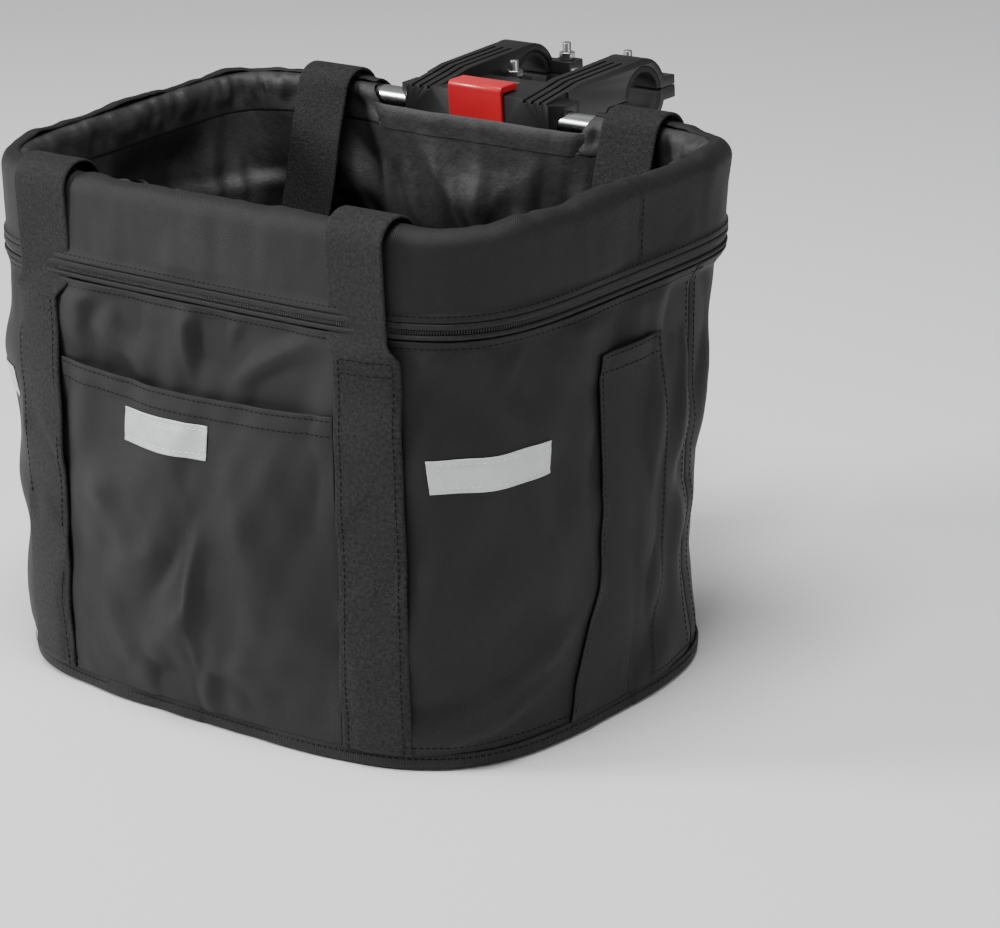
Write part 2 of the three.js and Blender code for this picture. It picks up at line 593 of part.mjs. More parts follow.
// ---- release button and its latch ---------------------------------------------------------------
function makeRelease() {
  const { front, low, lip, lipBack, top } = BUTTON;
  const behind = front + BUTTON_WALL;
  const cap = new THREE.Shape();
  cap.moveTo(front, low);
  cap.lineTo(behind, low);
  cap.lineTo(behind, lip);
  cap.lineTo(lipBack, lip);
  cap.lineTo(lipBack, top - 1);
  cap.lineTo(lipBack - 1, top);
  cap.lineTo(front + 3, top);
  cap.quadraticCurveTo(front, top, front, top - 3);
  piece('release_button', slab(cap, -BUTTON_HALF, BUTTON_HALF, 5), finish(0xd6262e, 0.4));

  const half = [-LATCH_HALF, LATCH_HALF];
  const latch = box(half, [behind + FIT, LATCH.back], [LATCH.under, LATCH.top])
    .add(box(half, [LATCH.back - 2, LATCH.back], [LATCH.low, LATCH.under + 1]))
    .add(box(half, [NECK.catchBack + FIT, LATCH.back - 1.9], [LATCH.low, NECK.catchLow - 0.4]));
  piece('latch_slide', latch, steel());

  for (const [side, sign] of [['left', -1], ['right', 1]]) {
    const { radius, wire, length, turns } = SPRING;
    const perTurn = 8;
    const points = Array.from({ length: turns * perTurn + 1 }, (_, k) => {
      const a = (k / perTurn) * 2 * Math.PI;
      const along = wire + ((length - 2 * wire) * k) / (turns * perTurn);
      return new THREE.Vector3(radius * Math.cos(a), along, radius * Math.sin(a));
    });
    const geometry = new THREE.ExtrudeGeometry(new THREE.Shape().absarc(0, 0, wire, 0, 2 * Math.PI), {
      steps: turns * perTurn, bevelEnabled: false, curveSegments: 2,
      extrudePath: new THREE.CatmullRomCurve3(points),
    });
    const spring = piece(`button_spring_${side}`, solid(geometry), steel());
    spring.position.set(sign * SPRING.x, behind + FIT, SPRING.z);
  }
}

// ---- handlebar bracket --------------------------------------------------------------------------
function armShape() {
  const outer = JAW_BORE + JAW_WALL;
  const split = BAR_Z + FIT;
  const dip = Math.asin(FIT / outer);
  const boreDip = Math.asin(FIT / JAW_BORE);
  const shape = new THREE.Shape();
  shape.moveTo(ARM_FRONT, 254);
  shape.lineTo(147, 252);
  shape.lineTo(LUG_FRONT, split);
  shape.lineTo(BAR_Y - JAW_BORE * Math.cos(boreDip), split);
  shape.absarc(BAR_Y, BAR_Z, JAW_BORE, Math.PI - boreDip, boreDip, true);
  shape.lineTo(LUG_BACK, split);
  shape.lineTo(LUG_BACK, split + 5);
  shape.lineTo(BAR_Y + outer * Math.cos(0.3) + 0.4, split + 5.7);
  shape.absarc(BAR_Y, BAR_Z, outer, 0.35 + dip, 1.72);
  shape.lineTo(...ARM_CREST);
  shape.lineTo(ARM_FRONT, RAMP.high);
  return shape;
}

function jawShape() {
  const outer = JAW_BORE + JAW_WALL;
  const shape = new THREE.Shape();
  const dip = Math.asin(LUG / outer);
  shape.moveTo(LUG_FRONT, BAR_Z - FIT);
  shape.lineTo(LUG_FRONT, BAR_Z - LUG);
  shape.absarc(BAR_Y, BAR_Z, outer, Math.PI + dip, 2 * Math.PI - dip);
  shape.lineTo(LUG_BACK, BAR_Z - LUG);
  shape.lineTo(LUG_BACK, BAR_Z - FIT);
  shape.lineTo(BAR_Y + JAW_BORE, BAR_Z - FIT);
  shape.absarc(BAR_Y, BAR_Z, JAW_BORE, -0.02, -Math.PI + 0.02, true);
  return shape;
}

function shimShape(from, to) {
  const [a, b] = [from, to].map(THREE.MathUtils.degToRad);
  const shape = new THREE.Shape();
  shape.absarc(BAR_Y, BAR_Z, JAW_BORE - FIT, a, b);
  shape.absarc(BAR_Y, BAR_Z, BAR_R, b, a, true);
  return shape;
}

function makeBracket() {
  const side = armShape();
  const neck = [-NECK.half, NECK.half];
  let body = slab(side, ARM_INNER, BLOCK_HALF, 10)
    .add(slab(side, -BLOCK_HALF, -ARM_INNER, 10))
    .add(box([-ARM_INNER - 1, ARM_INNER + 1], [NECK.back - 1, 147], [246, 268])) // bridge between the arms
    .add(box([-TONGUE.half, TONGUE.half], [TONGUE.front, TONGUE.back], [TONGUE.low, TONGUE.top]))
    .add(box(neck, [TONGUE.back - 0.1, TONGUE.back + 4.4], [TONGUE.low, TONGUE.top]))
    .add(box(neck, [TONGUE.back + 4.2, NECK.catchBack], [NECK.catchLow, TONGUE.top])) // catch
    .add(box(neck, [TONGUE.back + 4.2, NECK.back], [TONGUE.low, NECK.top]));
  for (const sign of [-1, 1]) {
    const across = [sign * LUG_INNER, sign * (ARM_INNER + 1)].sort((a, b) => a - b);
    body = body
      .add(box(across, [LUG_FRONT, BAR_Y - JAW_BORE - 1], [BAR_Z + FIT, BAR_Z + LUG]))
      .add(box(across, [BAR_Y + JAW_BORE + 1, LUG_BACK], [BAR_Z + FIT, BAR_Z + LUG]));
    for (const y of [CLAMP_SCREW.front, CLAMP_SCREW.back]) {
      body = body.subtract(rod('z', CLAMP_SCREW.hole, 30, [sign * CLAMP_SCREW.x, y, BAR_Z], 16));
    }
  }
  const latchRoom = [-LATCH_HALF - 1, LATCH_HALF + 1];
  body = body.subtract(box(latchRoom, [LATCH.back + 0.1, NECK.back + 1], [NECK.top, FAR]));
  for (const x of GROOVES.flatMap((g) => [-g, g])) {
    body = body
      .subtract(grooveCut(x, [ARM_FRONT, RAMP.high], ARM_CREST))
      .subtract(grooveCut(x, ARM_CREST, GROOVE_END));
  }
  piece('bracket_body', body, plastic());
}

function makeClamps() {
  const jaw = jawShape();
  const rubber = () => finish(0x151515, 0.9);
  const { radius, hole, head, headHeight, length } = CLAMP_SCREW;
  for (const [side, sign] of [['left', -1], ['right', 1]]) {
    const span = (inner) => [sign * inner, sign * BLOCK_HALF].sort((a, b) => a - b);
    const x = sign * CLAMP_SCREW.x;
    let lower = slab(jaw, ...span(LUG_INNER), 10);
    for (const y of [CLAMP_SCREW.front, CLAMP_SCREW.back]) {
      lower = lower.subtract(rod('z', hole, 40, [x, y, BAR_Z], 16));
    }
    piece(`${side}_clamp_jaw`, lower, plastic());
    piece(`${side}_upper_shim`, slab(shimShape(3, 177), ...span(ARM_INNER + FIT), 8), rubber());
    piece(`${side}_lower_shim`, slab(shimShape(183, 357), ...span(ARM_INNER + FIT), 8), rubber());

    for (const [place, y] of [['front', CLAMP_SCREW.front], ['rear', CLAMP_SCREW.back]]) {
      const screw = rod('z', radius, length, [0, 0, length / 2], 14)
        .add(rod('z', head, headHeight, [0, 0, 0.1 - headHeight / 2], 18))
        .subtract(rod('z', head / 2, 3, [0, 0, 0.4 - headHeight], 6)); // hexagon socket
      piece(`${side}_${place}_clamp_screw`, screw, steel()).position.set(x, y, BAR_Z - LUG - FIT);
      const nut = rod('z', CLAMP_SCREW.nut, 4, [0, 0, 2], 6).subtract(rod('z', hole, 10, [0, 0, 2], 14));
      piece(`${side}_${place}_clamp_nut`, nut, steel()).position.set(x, y, BAR_Z + LUG + FIT);
    }
  }
}

makeSleeve();
makePanels();
makeBase();
makeZip();
makePockets();
makePatches();
makeStraps();
makeHandles();
makeDrawcord();
makeHoop();
makeCarrier();
makeRelease();
makeBracket();
makeClamps();

export default basket;
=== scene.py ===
import math
import random

import bpy
import numpy as np
from mathutils import Matrix, Vector


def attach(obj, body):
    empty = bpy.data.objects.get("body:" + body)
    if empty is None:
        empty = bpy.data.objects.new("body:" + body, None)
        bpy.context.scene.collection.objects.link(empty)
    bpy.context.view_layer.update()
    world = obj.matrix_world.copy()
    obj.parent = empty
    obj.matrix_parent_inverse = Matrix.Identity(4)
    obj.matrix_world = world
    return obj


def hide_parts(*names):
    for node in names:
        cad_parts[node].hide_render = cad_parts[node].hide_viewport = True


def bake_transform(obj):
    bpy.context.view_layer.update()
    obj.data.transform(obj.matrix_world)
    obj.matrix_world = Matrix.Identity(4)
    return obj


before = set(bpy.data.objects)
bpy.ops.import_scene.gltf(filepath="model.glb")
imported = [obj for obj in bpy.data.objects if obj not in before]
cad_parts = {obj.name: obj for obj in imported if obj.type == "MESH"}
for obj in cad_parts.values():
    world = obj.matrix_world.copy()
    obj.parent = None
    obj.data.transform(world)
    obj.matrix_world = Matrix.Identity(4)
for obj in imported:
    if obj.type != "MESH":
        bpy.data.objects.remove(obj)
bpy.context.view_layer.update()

# Everything is in metres. The basket's front faces -Y and the handlebar runs along X behind it.

# ---- sizes, as in the CAD model -----------------------------------------------------------------
# The plan outlines: "front" and "back" say how square the corners are on each side of the middle.
RIM = {"width": 0.347, "depth": 0.236, "shift": 0.0, "front": 4.9, "back": 6.4}
BASE = {"width": 0.339, "depth": 0.258, "shift": -0.010, "front": 3.7, "back": 2.8}
RIM_TOP = 0.2675
FLARE = 0.02
SLEEVE_R = 0.0079
SLEEVE_HEM = 0.247
HOOP_R = 0.006
HOOP_Z = RIM_TOP - SLEEVE_R
ZIP_LOW, ZIP_HIGH = 0.216, 0.224
SEAM_X = 0.110
BACK_SEAM_Y = 0.056
BINDING_TOP = 0.0074
STRAP_X, WEBBING = 0.109, 0.0018
HANDLE_R = 0.0129
HANDLE_DROP = 0.150
HANDLE_BEND = 0.060
FRONT_SWING_Y, REAR_SWING_Y = -0.1068, 0.1085
REAR_LEAN = math.radians(18)
POCKET_HALF, POCKET_TOP = 0.0908, 0.174
PATCH = {"left": -0.043, "right": 0.014, "low": 0.1415, "high": 0.1585, "side": (-0.1132, -0.0620)}
CORD_X, CORD_Y, CORD_R = -0.157, 0.010, 0.0013

# ---- sizes of the cloth -------------------------------------------------------------------------
PANEL_CLOTH, BAND_CLOTH, POCKET_CLOTH, ZIP_CLOTH, THIN_CLOTH = 0.0013, 0.0011, 0.0010, 0.0012, 0.0006
THREAD_LIFT = 0.0001
FOLD_FINE = 0.0005
PANEL_TOP_HELD = (0.206, 0.2145)
SAG, SAG_SPREAD, SAG_FACINGS = 0.0060, 0.05, (42, 138)
SLEEVE_GAP, GAP_OPENING = 0.068, 0.006
RIM_EDGE = 1.95
BAND_FOLD = 0.0012
LINING_INSET = 0.0024
FLAP_TOP = 0.2580
ZIP_PROUD = 0.0012
TOOTH_PITCH, TOOTH_HALF, TOOTH_R = 0.00120, 0.0008, 0.00046
HEM_SEAMS = (0.0022, 0.0098)
HEM_FOLD = 0.0105
PATCH_RIM = 0.0026
SEWN_TOP = 0.205
LEG_X = 0.1036
# The right side pocket's seams: y of both at each level.
SIDE_POCKET = {"top": 0.191, "z": (0.008, 0.027, 0.050, 0.086, 0.128, 0.191),
               "front": (-0.0545, -0.0500, -0.0410, -0.0290, -0.0255, -0.0262),
               "back": (0.0080, 0.0125, 0.0180, 0.0240, 0.0250, 0.0216)}

# ---- light: name, place, size, power ------------------------------------------------------------
LIGHTS = (
    ("key_light", (-1.7, -1.3, 1.2), 0.6, 52),
    ("side_light", (1.8, -0.4, 0.9), 0.7, 7),
    ("top_light", (0.1, -0.3, 2.1), 0.9, 46),
)
SKY = 0.20
LIT_POINT = (0, 0, 0.15)


# ---- camera -------------------------------------------------------------------------------------
def make_camera():
    azimuth, elevation, roll = (math.radians(a) for a in (39.453, 19.936, -2.841))
    distance, target = 1.8361, Vector((0.0546, 0.0396, 0.0924))
    back = Vector((math.sin(azimuth) * math.cos(elevation),
                   -math.cos(azimuth) * math.cos(elevation), math.sin(elevation)))
    level = Vector((math.cos(azimuth), math.sin(azimuth), 0))
    upright = back.cross(level)
    right = level * math.cos(roll) + upright * math.sin(roll)
    up = upright * math.cos(roll) - level * math.sin(roll)
    data = bpy.data.cameras.new("camera")
    data.sensor_width = 36
    data.lens = 126.49
    camera = bpy.data.objects.new("camera", data)
    bpy.context.scene.collection.objects.link(camera)
    turn = Matrix((right, up, back)).transposed().to_4x4()
    camera.matrix_world = Matrix.Translation(target + back * distance) @ turn
    bpy.context.scene.camera = camera


make_camera()


# ---- the wall of the basket ---------------------------------------------------------------------
def outline(normal, plan):
    """The points of a plan outline that face along these normals."""
    nx, ny = normal
    square = np.where(ny < 0, plan["front"], plan["back"])
    p, q = np.abs(plan["width"] / 2 * nx), np.abs(plan["depth"] / 2 * ny)
    power = square / (square - 1)
    size = (p ** power + q ** power) ** (1 / square)
    x = np.sign(nx) * p ** (power - 1) / size
    y = np.sign(ny) * q ** (power - 1) / size
    return x * (1 + FLARE * y) * plan["width"] / 2, y * plan["depth"] / 2 + plan["shift"]


def rim_normals(count):
    angle = np.linspace(0, 2 * math.pi, count + 1)
    c, s = np.cos(angle), np.sin(angle)
    square = np.where(s < 0, RIM["front"], RIM["back"])
    nx = np.sign(c) * np.abs(c) ** (square - 1) / RIM["width"]
    ny = np.sign(s) * np.abs(s) ** (square - 1) / RIM["depth"]
    return nx / np.hypot(nx, ny), ny / np.hypot(nx, ny)


FINE = 5760
NORMAL = rim_normals(FINE)
RIM_X, RIM_Y = outline(NORMAL, RIM)
BASE_X, BASE_Y = outline(NORMAL, BASE)
ALONG = np.concatenate([[0], np.cumsum(np.hypot(np.diff(RIM_X), np.diff(RIM_Y)))])
PERIMETER = ALONG[-1]


TURN = np.degrees(np.arctan2(NORMAL[1][:FINE // 2], NORMAL[0][:FINE // 2]))
BACK_CORNERS = [float(np.interp(turn, TURN, ALONG[:FINE // 2])) for turn in SAG_FACINGS]


def smooth(low, high, value):
    t = np.clip((value - low) / (high - low), 0, 1)
    return t * t * (3 - 2 * t)


def offset(s, place):
    """Signed distance round the rim from a place on it, the shorter way."""
    return np.mod(s - place + PERIMETER / 2, PERIMETER) - PERIMETER / 2


def away(s, place):
    return np.abs(offset(s, place))


def sag(s, z):
    """The cloth is drawn in at the back corners, below the zip."""
    near = sum(np.exp(-(offset(s, corner) / SAG_SPREAD) ** 2) for corner in BACK_CORNERS)
    return -SAG * near * smooth(0.008, 0.06, z) * (1 - smooth(*PANEL_TOP_HELD, z))


def wall(s, z, out=0.0):
    """Points of the wall: s metres round the rim from the right side's middle, z up, out outwards."""
    s, z, out = np.broadcast_arrays(np.asarray(s, float), z, out)
    out = out + sag(s, z)
    at = np.mod(s, PERIMETER)
    nx, ny, rx, ry, bx, by = (
        np.interp(at, ALONG, v) for v in (*NORMAL, RIM_X, RIM_Y, BASE_X, BASE_Y))
    up = z / RIM_TOP
    x = bx + (rx - bx) * up + nx * out
    y = by + (ry - by) * up + ny * out
    return np.stack([x, y, z], -1)


def wall_normal(s):
    at = np.mod(s, PERIMETER)
    return np.stack([np.interp(at, ALONG, NORMAL[0]), np.interp(at, ALONG, NORMAL[1]), 0 * at], -1)


def finder(base, rim, part, along, sign):
    """A function that finds where a stretch of the wall has a given x or y, at height z."""
    def find(value, z):
        up = np.asarray(z, float) / RIM_TOP
        both = np.broadcast(value, up)
        found = [np.interp(sign * a, sign * (base[part] + (rim[part] - base[part]) * u), along)
                 for a, u in both]
        return np.array(found).reshape(both.shape)
    return find


QUARTER, HALF = FINE // 4, FINE // 2
AT_RIGHT = np.r_[3 * QUARTER:FINE, 0:QUARTER]
ALONG_RIGHT = np.r_[ALONG[3 * QUARTER:FINE] - PERIMETER, ALONG[:QUARTER]]
AT_LEFT = slice(QUARTER, 3 * QUARTER)
s_front = finder(BASE_X, RIM_X, slice(HALF, None), ALONG[HALF:], 1)
s_back = finder(BASE_X, RIM_X, slice(0, HALF), ALONG[:HALF], -1)
s_right = finder(BASE_Y, RIM_Y, AT_RIGHT, ALONG_RIGHT, 1)
s_left = finder(BASE_Y, RIM_Y, AT_LEFT, ALONG[AT_LEFT], -1)

FRONT_S = float(s_front(0.0, 0.1))
LEFT_S = float(s_left(0.0, 0.1))
BACK_S = float(s_back(0.0, 0.25))
CORD_S = LEFT_S - CORD_Y
SIDE_SEAM_S = float(s_right(0.0095, 0.24))


# ---- relief of the cloth ------------------------------------------------------------------------
def ripple(s, z, seed, shortest, longest, stretch=1.0, count=14):
    """Soft waves of about unit height that close up round the basket."""
    draw = random.Random(seed)
    total = 0
    for _ in range(count):
        size, heading = draw.uniform(shortest, longest), draw.uniform(0, 2 * math.pi)
        turns = round(math.cos(heading) * PERIMETER / size)
        rise = math.sin(heading) / (size * stretch)
        total = total + np.cos(2 * math.pi * (turns * s / PERIMETER + rise * z + draw.random()))
    return total / math.sqrt(count / 2)


def folds(s, z, creases):
    """Straight soft creases: middle (s, z), half length, half width, lean from upright, height."""
    total = 0
    for middle, level, length, width, lean, height in creases:
        a = math.radians(lean)
        ds = offset(s, middle)
        dz = z - level
        along = dz * math.cos(a) + ds * math.sin(a)
        across = ds * math.cos(a) - dz * math.sin(a)
        total = total + height * np.exp(-(across / width) ** 2 - (along / length) ** 2)
    return total


# Creases of the outer cloth: place along the wall, level, half length, half width, lean, height.
CREASES = [
    # above the front pocket
    (FRONT_S - 0.004, 0.200, 0.020, 0.0060, -8, 0.0045),
    (FRONT_S + 0.016, 0.206, 0.012, 0.0080, 10, -0.0027),
    (FRONT_S + 0.030, 0.205, 0.014, 0.0055, 24, 0.0027),
    (FRONT_S + 0.057, 0.196, 0.024, 0.0055, 60, 0.0039),
    (FRONT_S + 0.070, 0.186, 0.014, 0.0080, 40, -0.0021),
    (FRONT_S - 0.055, 0.187, 0.018, 0.0050, -66, 0.0033),
    (FRONT_S - 0.083, 0.198, 0.015, 0.0060, 8, 0.0033),
    (FRONT_S - 0.066, 0.208, 0.014, 0.0060, 50, -0.0021),
    # right front corner and side
    (0.946, 0.206, 0.012, 0.0045, 30, 0.0021),
    (0.968, 0.206, 0.014, 0.0045, -14, 0.0030),
    (0.985, 0.203, 0.015, 0.0045, 34, 0.0027),
    (0.977, 0.180, 0.022, 0.0070, -42, 0.0030),
    (1.006, 0.200, 0.014, 0.0050, -24, 0.0021),
    (0.955, 0.104, 0.040, 0.0130, 26, 0.0030),
    (0.990, 0.112, 0.034, 0.0110, -30, 0.0021),
    (0.974, 0.022, 0.020, 0.0045, 60, 0.0042),
    (0.984, 0.040, 0.030, 0.0060, 54, 0.0033),
    (0.952, 0.032, 0.020, 0.0060, 70, -0.0018),
    # behind the side pocket
    (0.066, 0.158, 0.045, 0.0050, 2, 0.0033),
    (0.081, 0.170, 0.040, 0.0055, -3, -0.0021),
    (0.093, 0.150, 0.050, 0.0065, 1, 0.0039),
    (0.076, 0.070, 0.034, 0.0060, -10, 0.0039),
]


def cloth_relief(s, z):
    """How far the outer cloth stands out from the plain wall."""
    broad, fine = ripple(s, z, 11, 0.06, 0.14), ripple(s, z, 12, 0.022, 0.045, 1.6, 20)
    rough = 0.0014 * broad + 0.0007 * fine
    held = smooth(0.0, 0.02, z) * (1 - 0.8 * smooth(*PANEL_TOP_HELD, z))
    # low down at the back the wall's columns run together, so the cloth is kept calm there
    crowded = (1 - smooth(0.05, 0.15, away(s, BACK_S))) * (1 - smooth(0.03, 0.17, z))
    relief = (rough * (1 - 0.92 * crowded) + folds(s, z, CREASES) + 0.0009) * held
    return np.clip(relief, -0.0006, 0.0062)


def plus(out, lift=THREAD_LIFT):
    """The same surface, lifted by a little, as for a thread that lies on it."""
    return lambda s, z: out(s, z) + lift


# ---- making meshes ------------------------------------------------------------------------------
def stops(length, pitch, edge=0.0003):
    """Shares from 0 to 1 along a length, closer together at both ends."""
    middle = np.linspace(3 * edge, length - 3 * edge, max(2, round(length / pitch)))
    return np.concatenate([[0, edge, 1.8 * edge], middle,
                           [length - 1.8 * edge, length - edge, length]]) / length


def finish_mesh(name, points, faces, material, body, slot, replaced=(), cloth=None):
    """A piece of smooth four-sided faces. Faces with more sides stay flat."""
    mesh = bpy.data.meshes.new(name)
    mesh.from_pydata(np.asarray(points).tolist(), [],
                     faces if isinstance(faces, list) else faces.tolist())
    mesh.materials.append(material)
    mesh.polygons.foreach_set("use_smooth", [len(face.vertices) == 4 for face in mesh.polygons])
    if cloth is not None:
        lay = mesh.attributes.new("cloth", "FLOAT_VECTOR", "POINT")
        lay.data.foreach_set("vector", np.asarray(cloth, np.float32).ravel())
    piece = bpy.data.objects.new(name, mesh)
    bpy.context.scene.collection.objects.link(piece)
    if body:
        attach(piece, body)
    if replaced:
        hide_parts(*replaced)
    return piece


def length_along(path):
    """Distance of each point from the start of a path."""
    return np.concatenate([[0], np.cumsum(np.linalg.norm(np.diff(path, axis=0), axis=1))])


def grid_normals(grid, closed):
    if closed:
        across = np.roll(grid, -1, 1) - np.roll(grid, 1, 1)
    else:
        across = np.gradient(grid, axis=1)
    normal = np.cross(across, np.gradient(grid, axis=0))
    return normal / np.maximum(np.linalg.norm(normal, axis=2, keepdims=True), 1e-12)


def spacing(grid, axis):
    """Distance of each point from the nearer end of its row or column."""
    step = np.linalg.norm(np.diff(grid, axis=axis), axis=2)
    run = np.cumsum(step, axis=axis)
    run = np.insert(run, 0, 0, axis=axis)
    total = run.max(axis=axis, keepdims=True)
    return np.minimum(run, total - run)


def skin(name, middle, thick, material, slot, body="basket", closed=False, replaced=(), cloth=None):
    """A sheet of even thickness with rounded edges on a grid of middle points."""
    rows, cols = middle.shape[:2]
    edge = spacing(middle, 0)
    if not closed:
        edge = np.minimum(edge, spacing(middle, 1))
    inset = 1 - np.clip(edge / (0.7 * thick), 0, 1)
    half = np.maximum(thick / 2 * np.sqrt(1 - inset ** 2), 0.12 * thick)[..., None]
    normal = grid_normals(middle, closed)
    points = np.concatenate([(middle + normal * half).reshape(-1, 3),
                             (middle - normal * half).reshape(-1, 3)])
    outer = np.arange(rows * cols).reshape(rows, cols)
    if closed:
        outer = np.concatenate([outer, outer[:, :1]], 1)
    inner = outer + rows * cols

    def quads(a, b, c, d):
        return np.stack([a, b, c, d], -1).reshape(-1, 4)

    faces = [
        quads(outer[:-1, :-1], outer[:-1, 1:], outer[1:, 1:], outer[1:, :-1]),
        quads(inner[:-1, :-1], inner[1:, :-1], inner[1:, 1:], inner[:-1, 1:]),
        quads(outer[0, 1:], outer[0, :-1], inner[0, :-1], inner[0, 1:]),
        quads(outer[-1, :-1], outer[-1, 1:], inner[-1, 1:], inner[-1, :-1]),
    ]
    if not closed:
        faces += [
            quads(outer[:-1, 0], outer[1:, 0], inner[1:, 0], inner[:-1, 0]),
            quads(outer[1:, -1], outer[:-1, -1], inner[:-1, -1], inner[1:, -1]),
        ]
    if cloth is not None:
        cloth = np.concatenate([cloth.reshape(-1, 3)] * 2)
    return finish_mesh(name, points, np.concatenate(faces), material, body, slot, replaced, cloth)


def lay_of(*parts):
    """How the weave lies: distances along and across the cloth, for every point of a grid."""
    parts = np.broadcast_arrays(*parts)
    return np.stack([*parts, 0 * parts[0]], -1)


def panel(name, s_edges, z_edges, out, thick, material, slot, pitch=0.0026, closed=False, **more):
    """A sheet on the wall between two edges, functions of z, and two levels, of the share across."""
    low, high = z_edges
    if closed:
        count = round(PERIMETER / pitch)
        share = np.arange(count) / count
    else:
        share = stops(float(np.ptp(s_edges(np.array([0.1])))), pitch)
    rise = stops(float(np.mean(high(share)) - np.mean(low(share))), pitch)
    z = low(share)[None] + (high(share) - low(share))[None] * rise[:, None]
    if closed:
        s = np.broadcast_to(share * PERIMETER, z.shape)
    else:
        left, right = s_edges(z[:, z.shape[1] // 2])
        s = left[:, None] + (right - left)[:, None] * share[None]
    middle = wall(s, z, out(s, z) - thick / 2)
    return skin(name, middle, thick, material, slot, closed=closed, cloth=lay_of(s, z), **more)


def level(value):
    return lambda share: value + 0 * share


# ---- stitches -----------------------------------------------------------------------------------
STITCHES = {}


def sew(kind, path, normal, pitch=0.0033, length=0.0024, radius=0.00027):
    """Lays stitches along a path. They are gathered by kind, and made into one mesh each at the end."""
    run = length_along(path)
    count = max(1, int(run[-1] / pitch))
    at = (np.arange(count) + 0.5) * run[-1] / count
    ends = [np.stack([np.interp(at + e, run, path[:, k]) for k in range(3)], -1)
            for e in (-length / 2, length / 2)]
    facing = np.stack([np.interp(at, run, normal[:, k]) for k in range(3)], -1)
    facing /= np.linalg.norm(facing, axis=1, keepdims=True)
    STITCHES.setdefault(kind, []).append((*ends, facing, radius))


# A stitch's rings of six points: place along its half length, width and depth, in radii.
STITCH_SIDES = 6
STITCH_RINGS = ((-1.0, 0.3, -0.8), (-0.62, 0.95, 0.0), (0.62, 0.95, 0.0), (1.0, 0.3, -0.8))


def stitch_faces():
    """The faces of one stitch, with its two ends closed by two quads each."""
    sides, top = STITCH_SIDES, (len(STITCH_RINGS) - 1) * STITCH_SIDES
    round_it = [(r * sides + k, r * sides + (k + 1) % sides, (r + 1) * sides + (k + 1) % sides,
                 (r + 1) * sides + k) for r in range(len(STITCH_RINGS) - 1) for k in range(sides)]
    ends = [(0, 1, 2, 3), (0, 3, 4, 5),
            (top + 3, top + 2, top + 1, top), (top + 5, top + 4, top + 3, top)]
    return np.array(round_it + ends)


def stitch_mesh(name, rows, material, body, slot):
    """All the stitches of a kind as one mesh. A row has its starts, ends, normals and radius."""
    points, faces, start = [], [], 0
    size = STITCH_SIDES * len(STITCH_RINGS)
    for first, last, facing, radius in rows:
        along = (last - first) / 2
        across = np.cross(facing, along)
        across /= np.linalg.norm(across, axis=1, keepdims=True)
        middle = (first + last) / 2
        block = []
        for step, wide, sink in STITCH_RINGS:
            for k in range(STITCH_SIDES):
                a = 2 * math.pi * k / STITCH_SIDES
                block.append(middle + along * step + across * radius * wide * math.cos(a)
                             + facing * radius * (wide * math.sin(a) + sink))
        points.append(np.stack(block, 1).reshape(-1, 3))
        base = start + size * np.arange(len(middle))
        faces.append((stitch_faces()[None] + base[:, None, None]).reshape(-1, 4))
        start += size * len(middle)
    return finish_mesh(name, np.concatenate(points), np.concatenate(faces), material, body, slot)


def sew_wall(kind, s, z, out, **more):
    s, z = np.broadcast_arrays(np.asarray(s, float), np.asarray(z, float))
    sew(kind, wall(s, z, out(s, z)), wall_normal(s), **more)


# ---- materials ----------------------------------------------------------------------------------
def shader(name, color, roughness, **values):
    """A material, its node tree and its principled shader with constant values set."""
    material = bpy.data.materials.new(name)
    material.use_nodes = True
    tree = material.node_tree
    principled = tree.nodes["Principled BSDF"]
    principled.inputs["Base Color"].default_value = (*color, 1)
    principled.inputs["Roughness"].default_value = roughness
    for key, value in values.items():
        principled.inputs[key.replace("_", " ")].default_value = value
    return material, tree, principled


def add(tree, kind, inputs=(), **settings):
    node = tree.nodes.new(kind)
    for key, value in settings.items():
        setattr(node, key, value)
    for key, value in dict(inputs).items():
        if isinstance(value, bpy.types.NodeSocket):
            tree.links.new(value, node.inputs[key])
        else:
            node.inputs[key].default_value = value
    return node


def maths(tree, operation, a, b=0.0, c=0.0):
    return add(tree, "ShaderNodeMath", {0: a, 1: b, 2: c}, operation=operation).outputs[0]


def noise(tree, vector, scale, detail=3.0, roughness=0.55):
    found = add(tree, "ShaderNodeTexNoise", {
        "Vector": vector, "Scale": scale, "Detail": detail, "Roughness": roughness})
    return found.outputs["Fac"]


def tint(tree, principled, factor, dark, light):
    """Base colour between two colours."""
    mix = add(tree, "ShaderNodeMix", {0: factor, 6: (*dark, 1), 7: (*light, 1)}, data_type="RGBA")
    tree.links.new(mix.outputs[2], principled.inputs["Base Color"])


def bumps(tree, principled, heights):
    """Stacks bump nodes: (height socket, distance in metres, strength)."""
    last = None
    for height, distance, strength in heights:
        node = add(tree, "ShaderNodeBump", {
            "Height": height, "Distance": distance, "Strength": strength})
        if last:
            tree.links.new(last, node.inputs["Normal"])
        last = node.outputs["Normal"]
    tree.links.new(last, principled.inputs["Normal"])


def ranged(tree, value, low, high):
    return add(tree, "ShaderNodeMapRange", {0: value, 3: low, 4: high}).outputs[0]


def cloth_lay(tree):
    lay = add(tree, "ShaderNodeAttribute", attribute_name="cloth").outputs["Vector"]
    parts = add(tree, "ShaderNodeSeparateXYZ", {0: lay})
    return lay, parts.outputs[0], parts.outputs[1]


def wave(tree, value, pitch):
    """A sine of a length with this pitch."""
    return maths(tree, "SINE", maths(tree, "MULTIPLY_ADD", value, 2 * math.pi / pitch, 0.0))


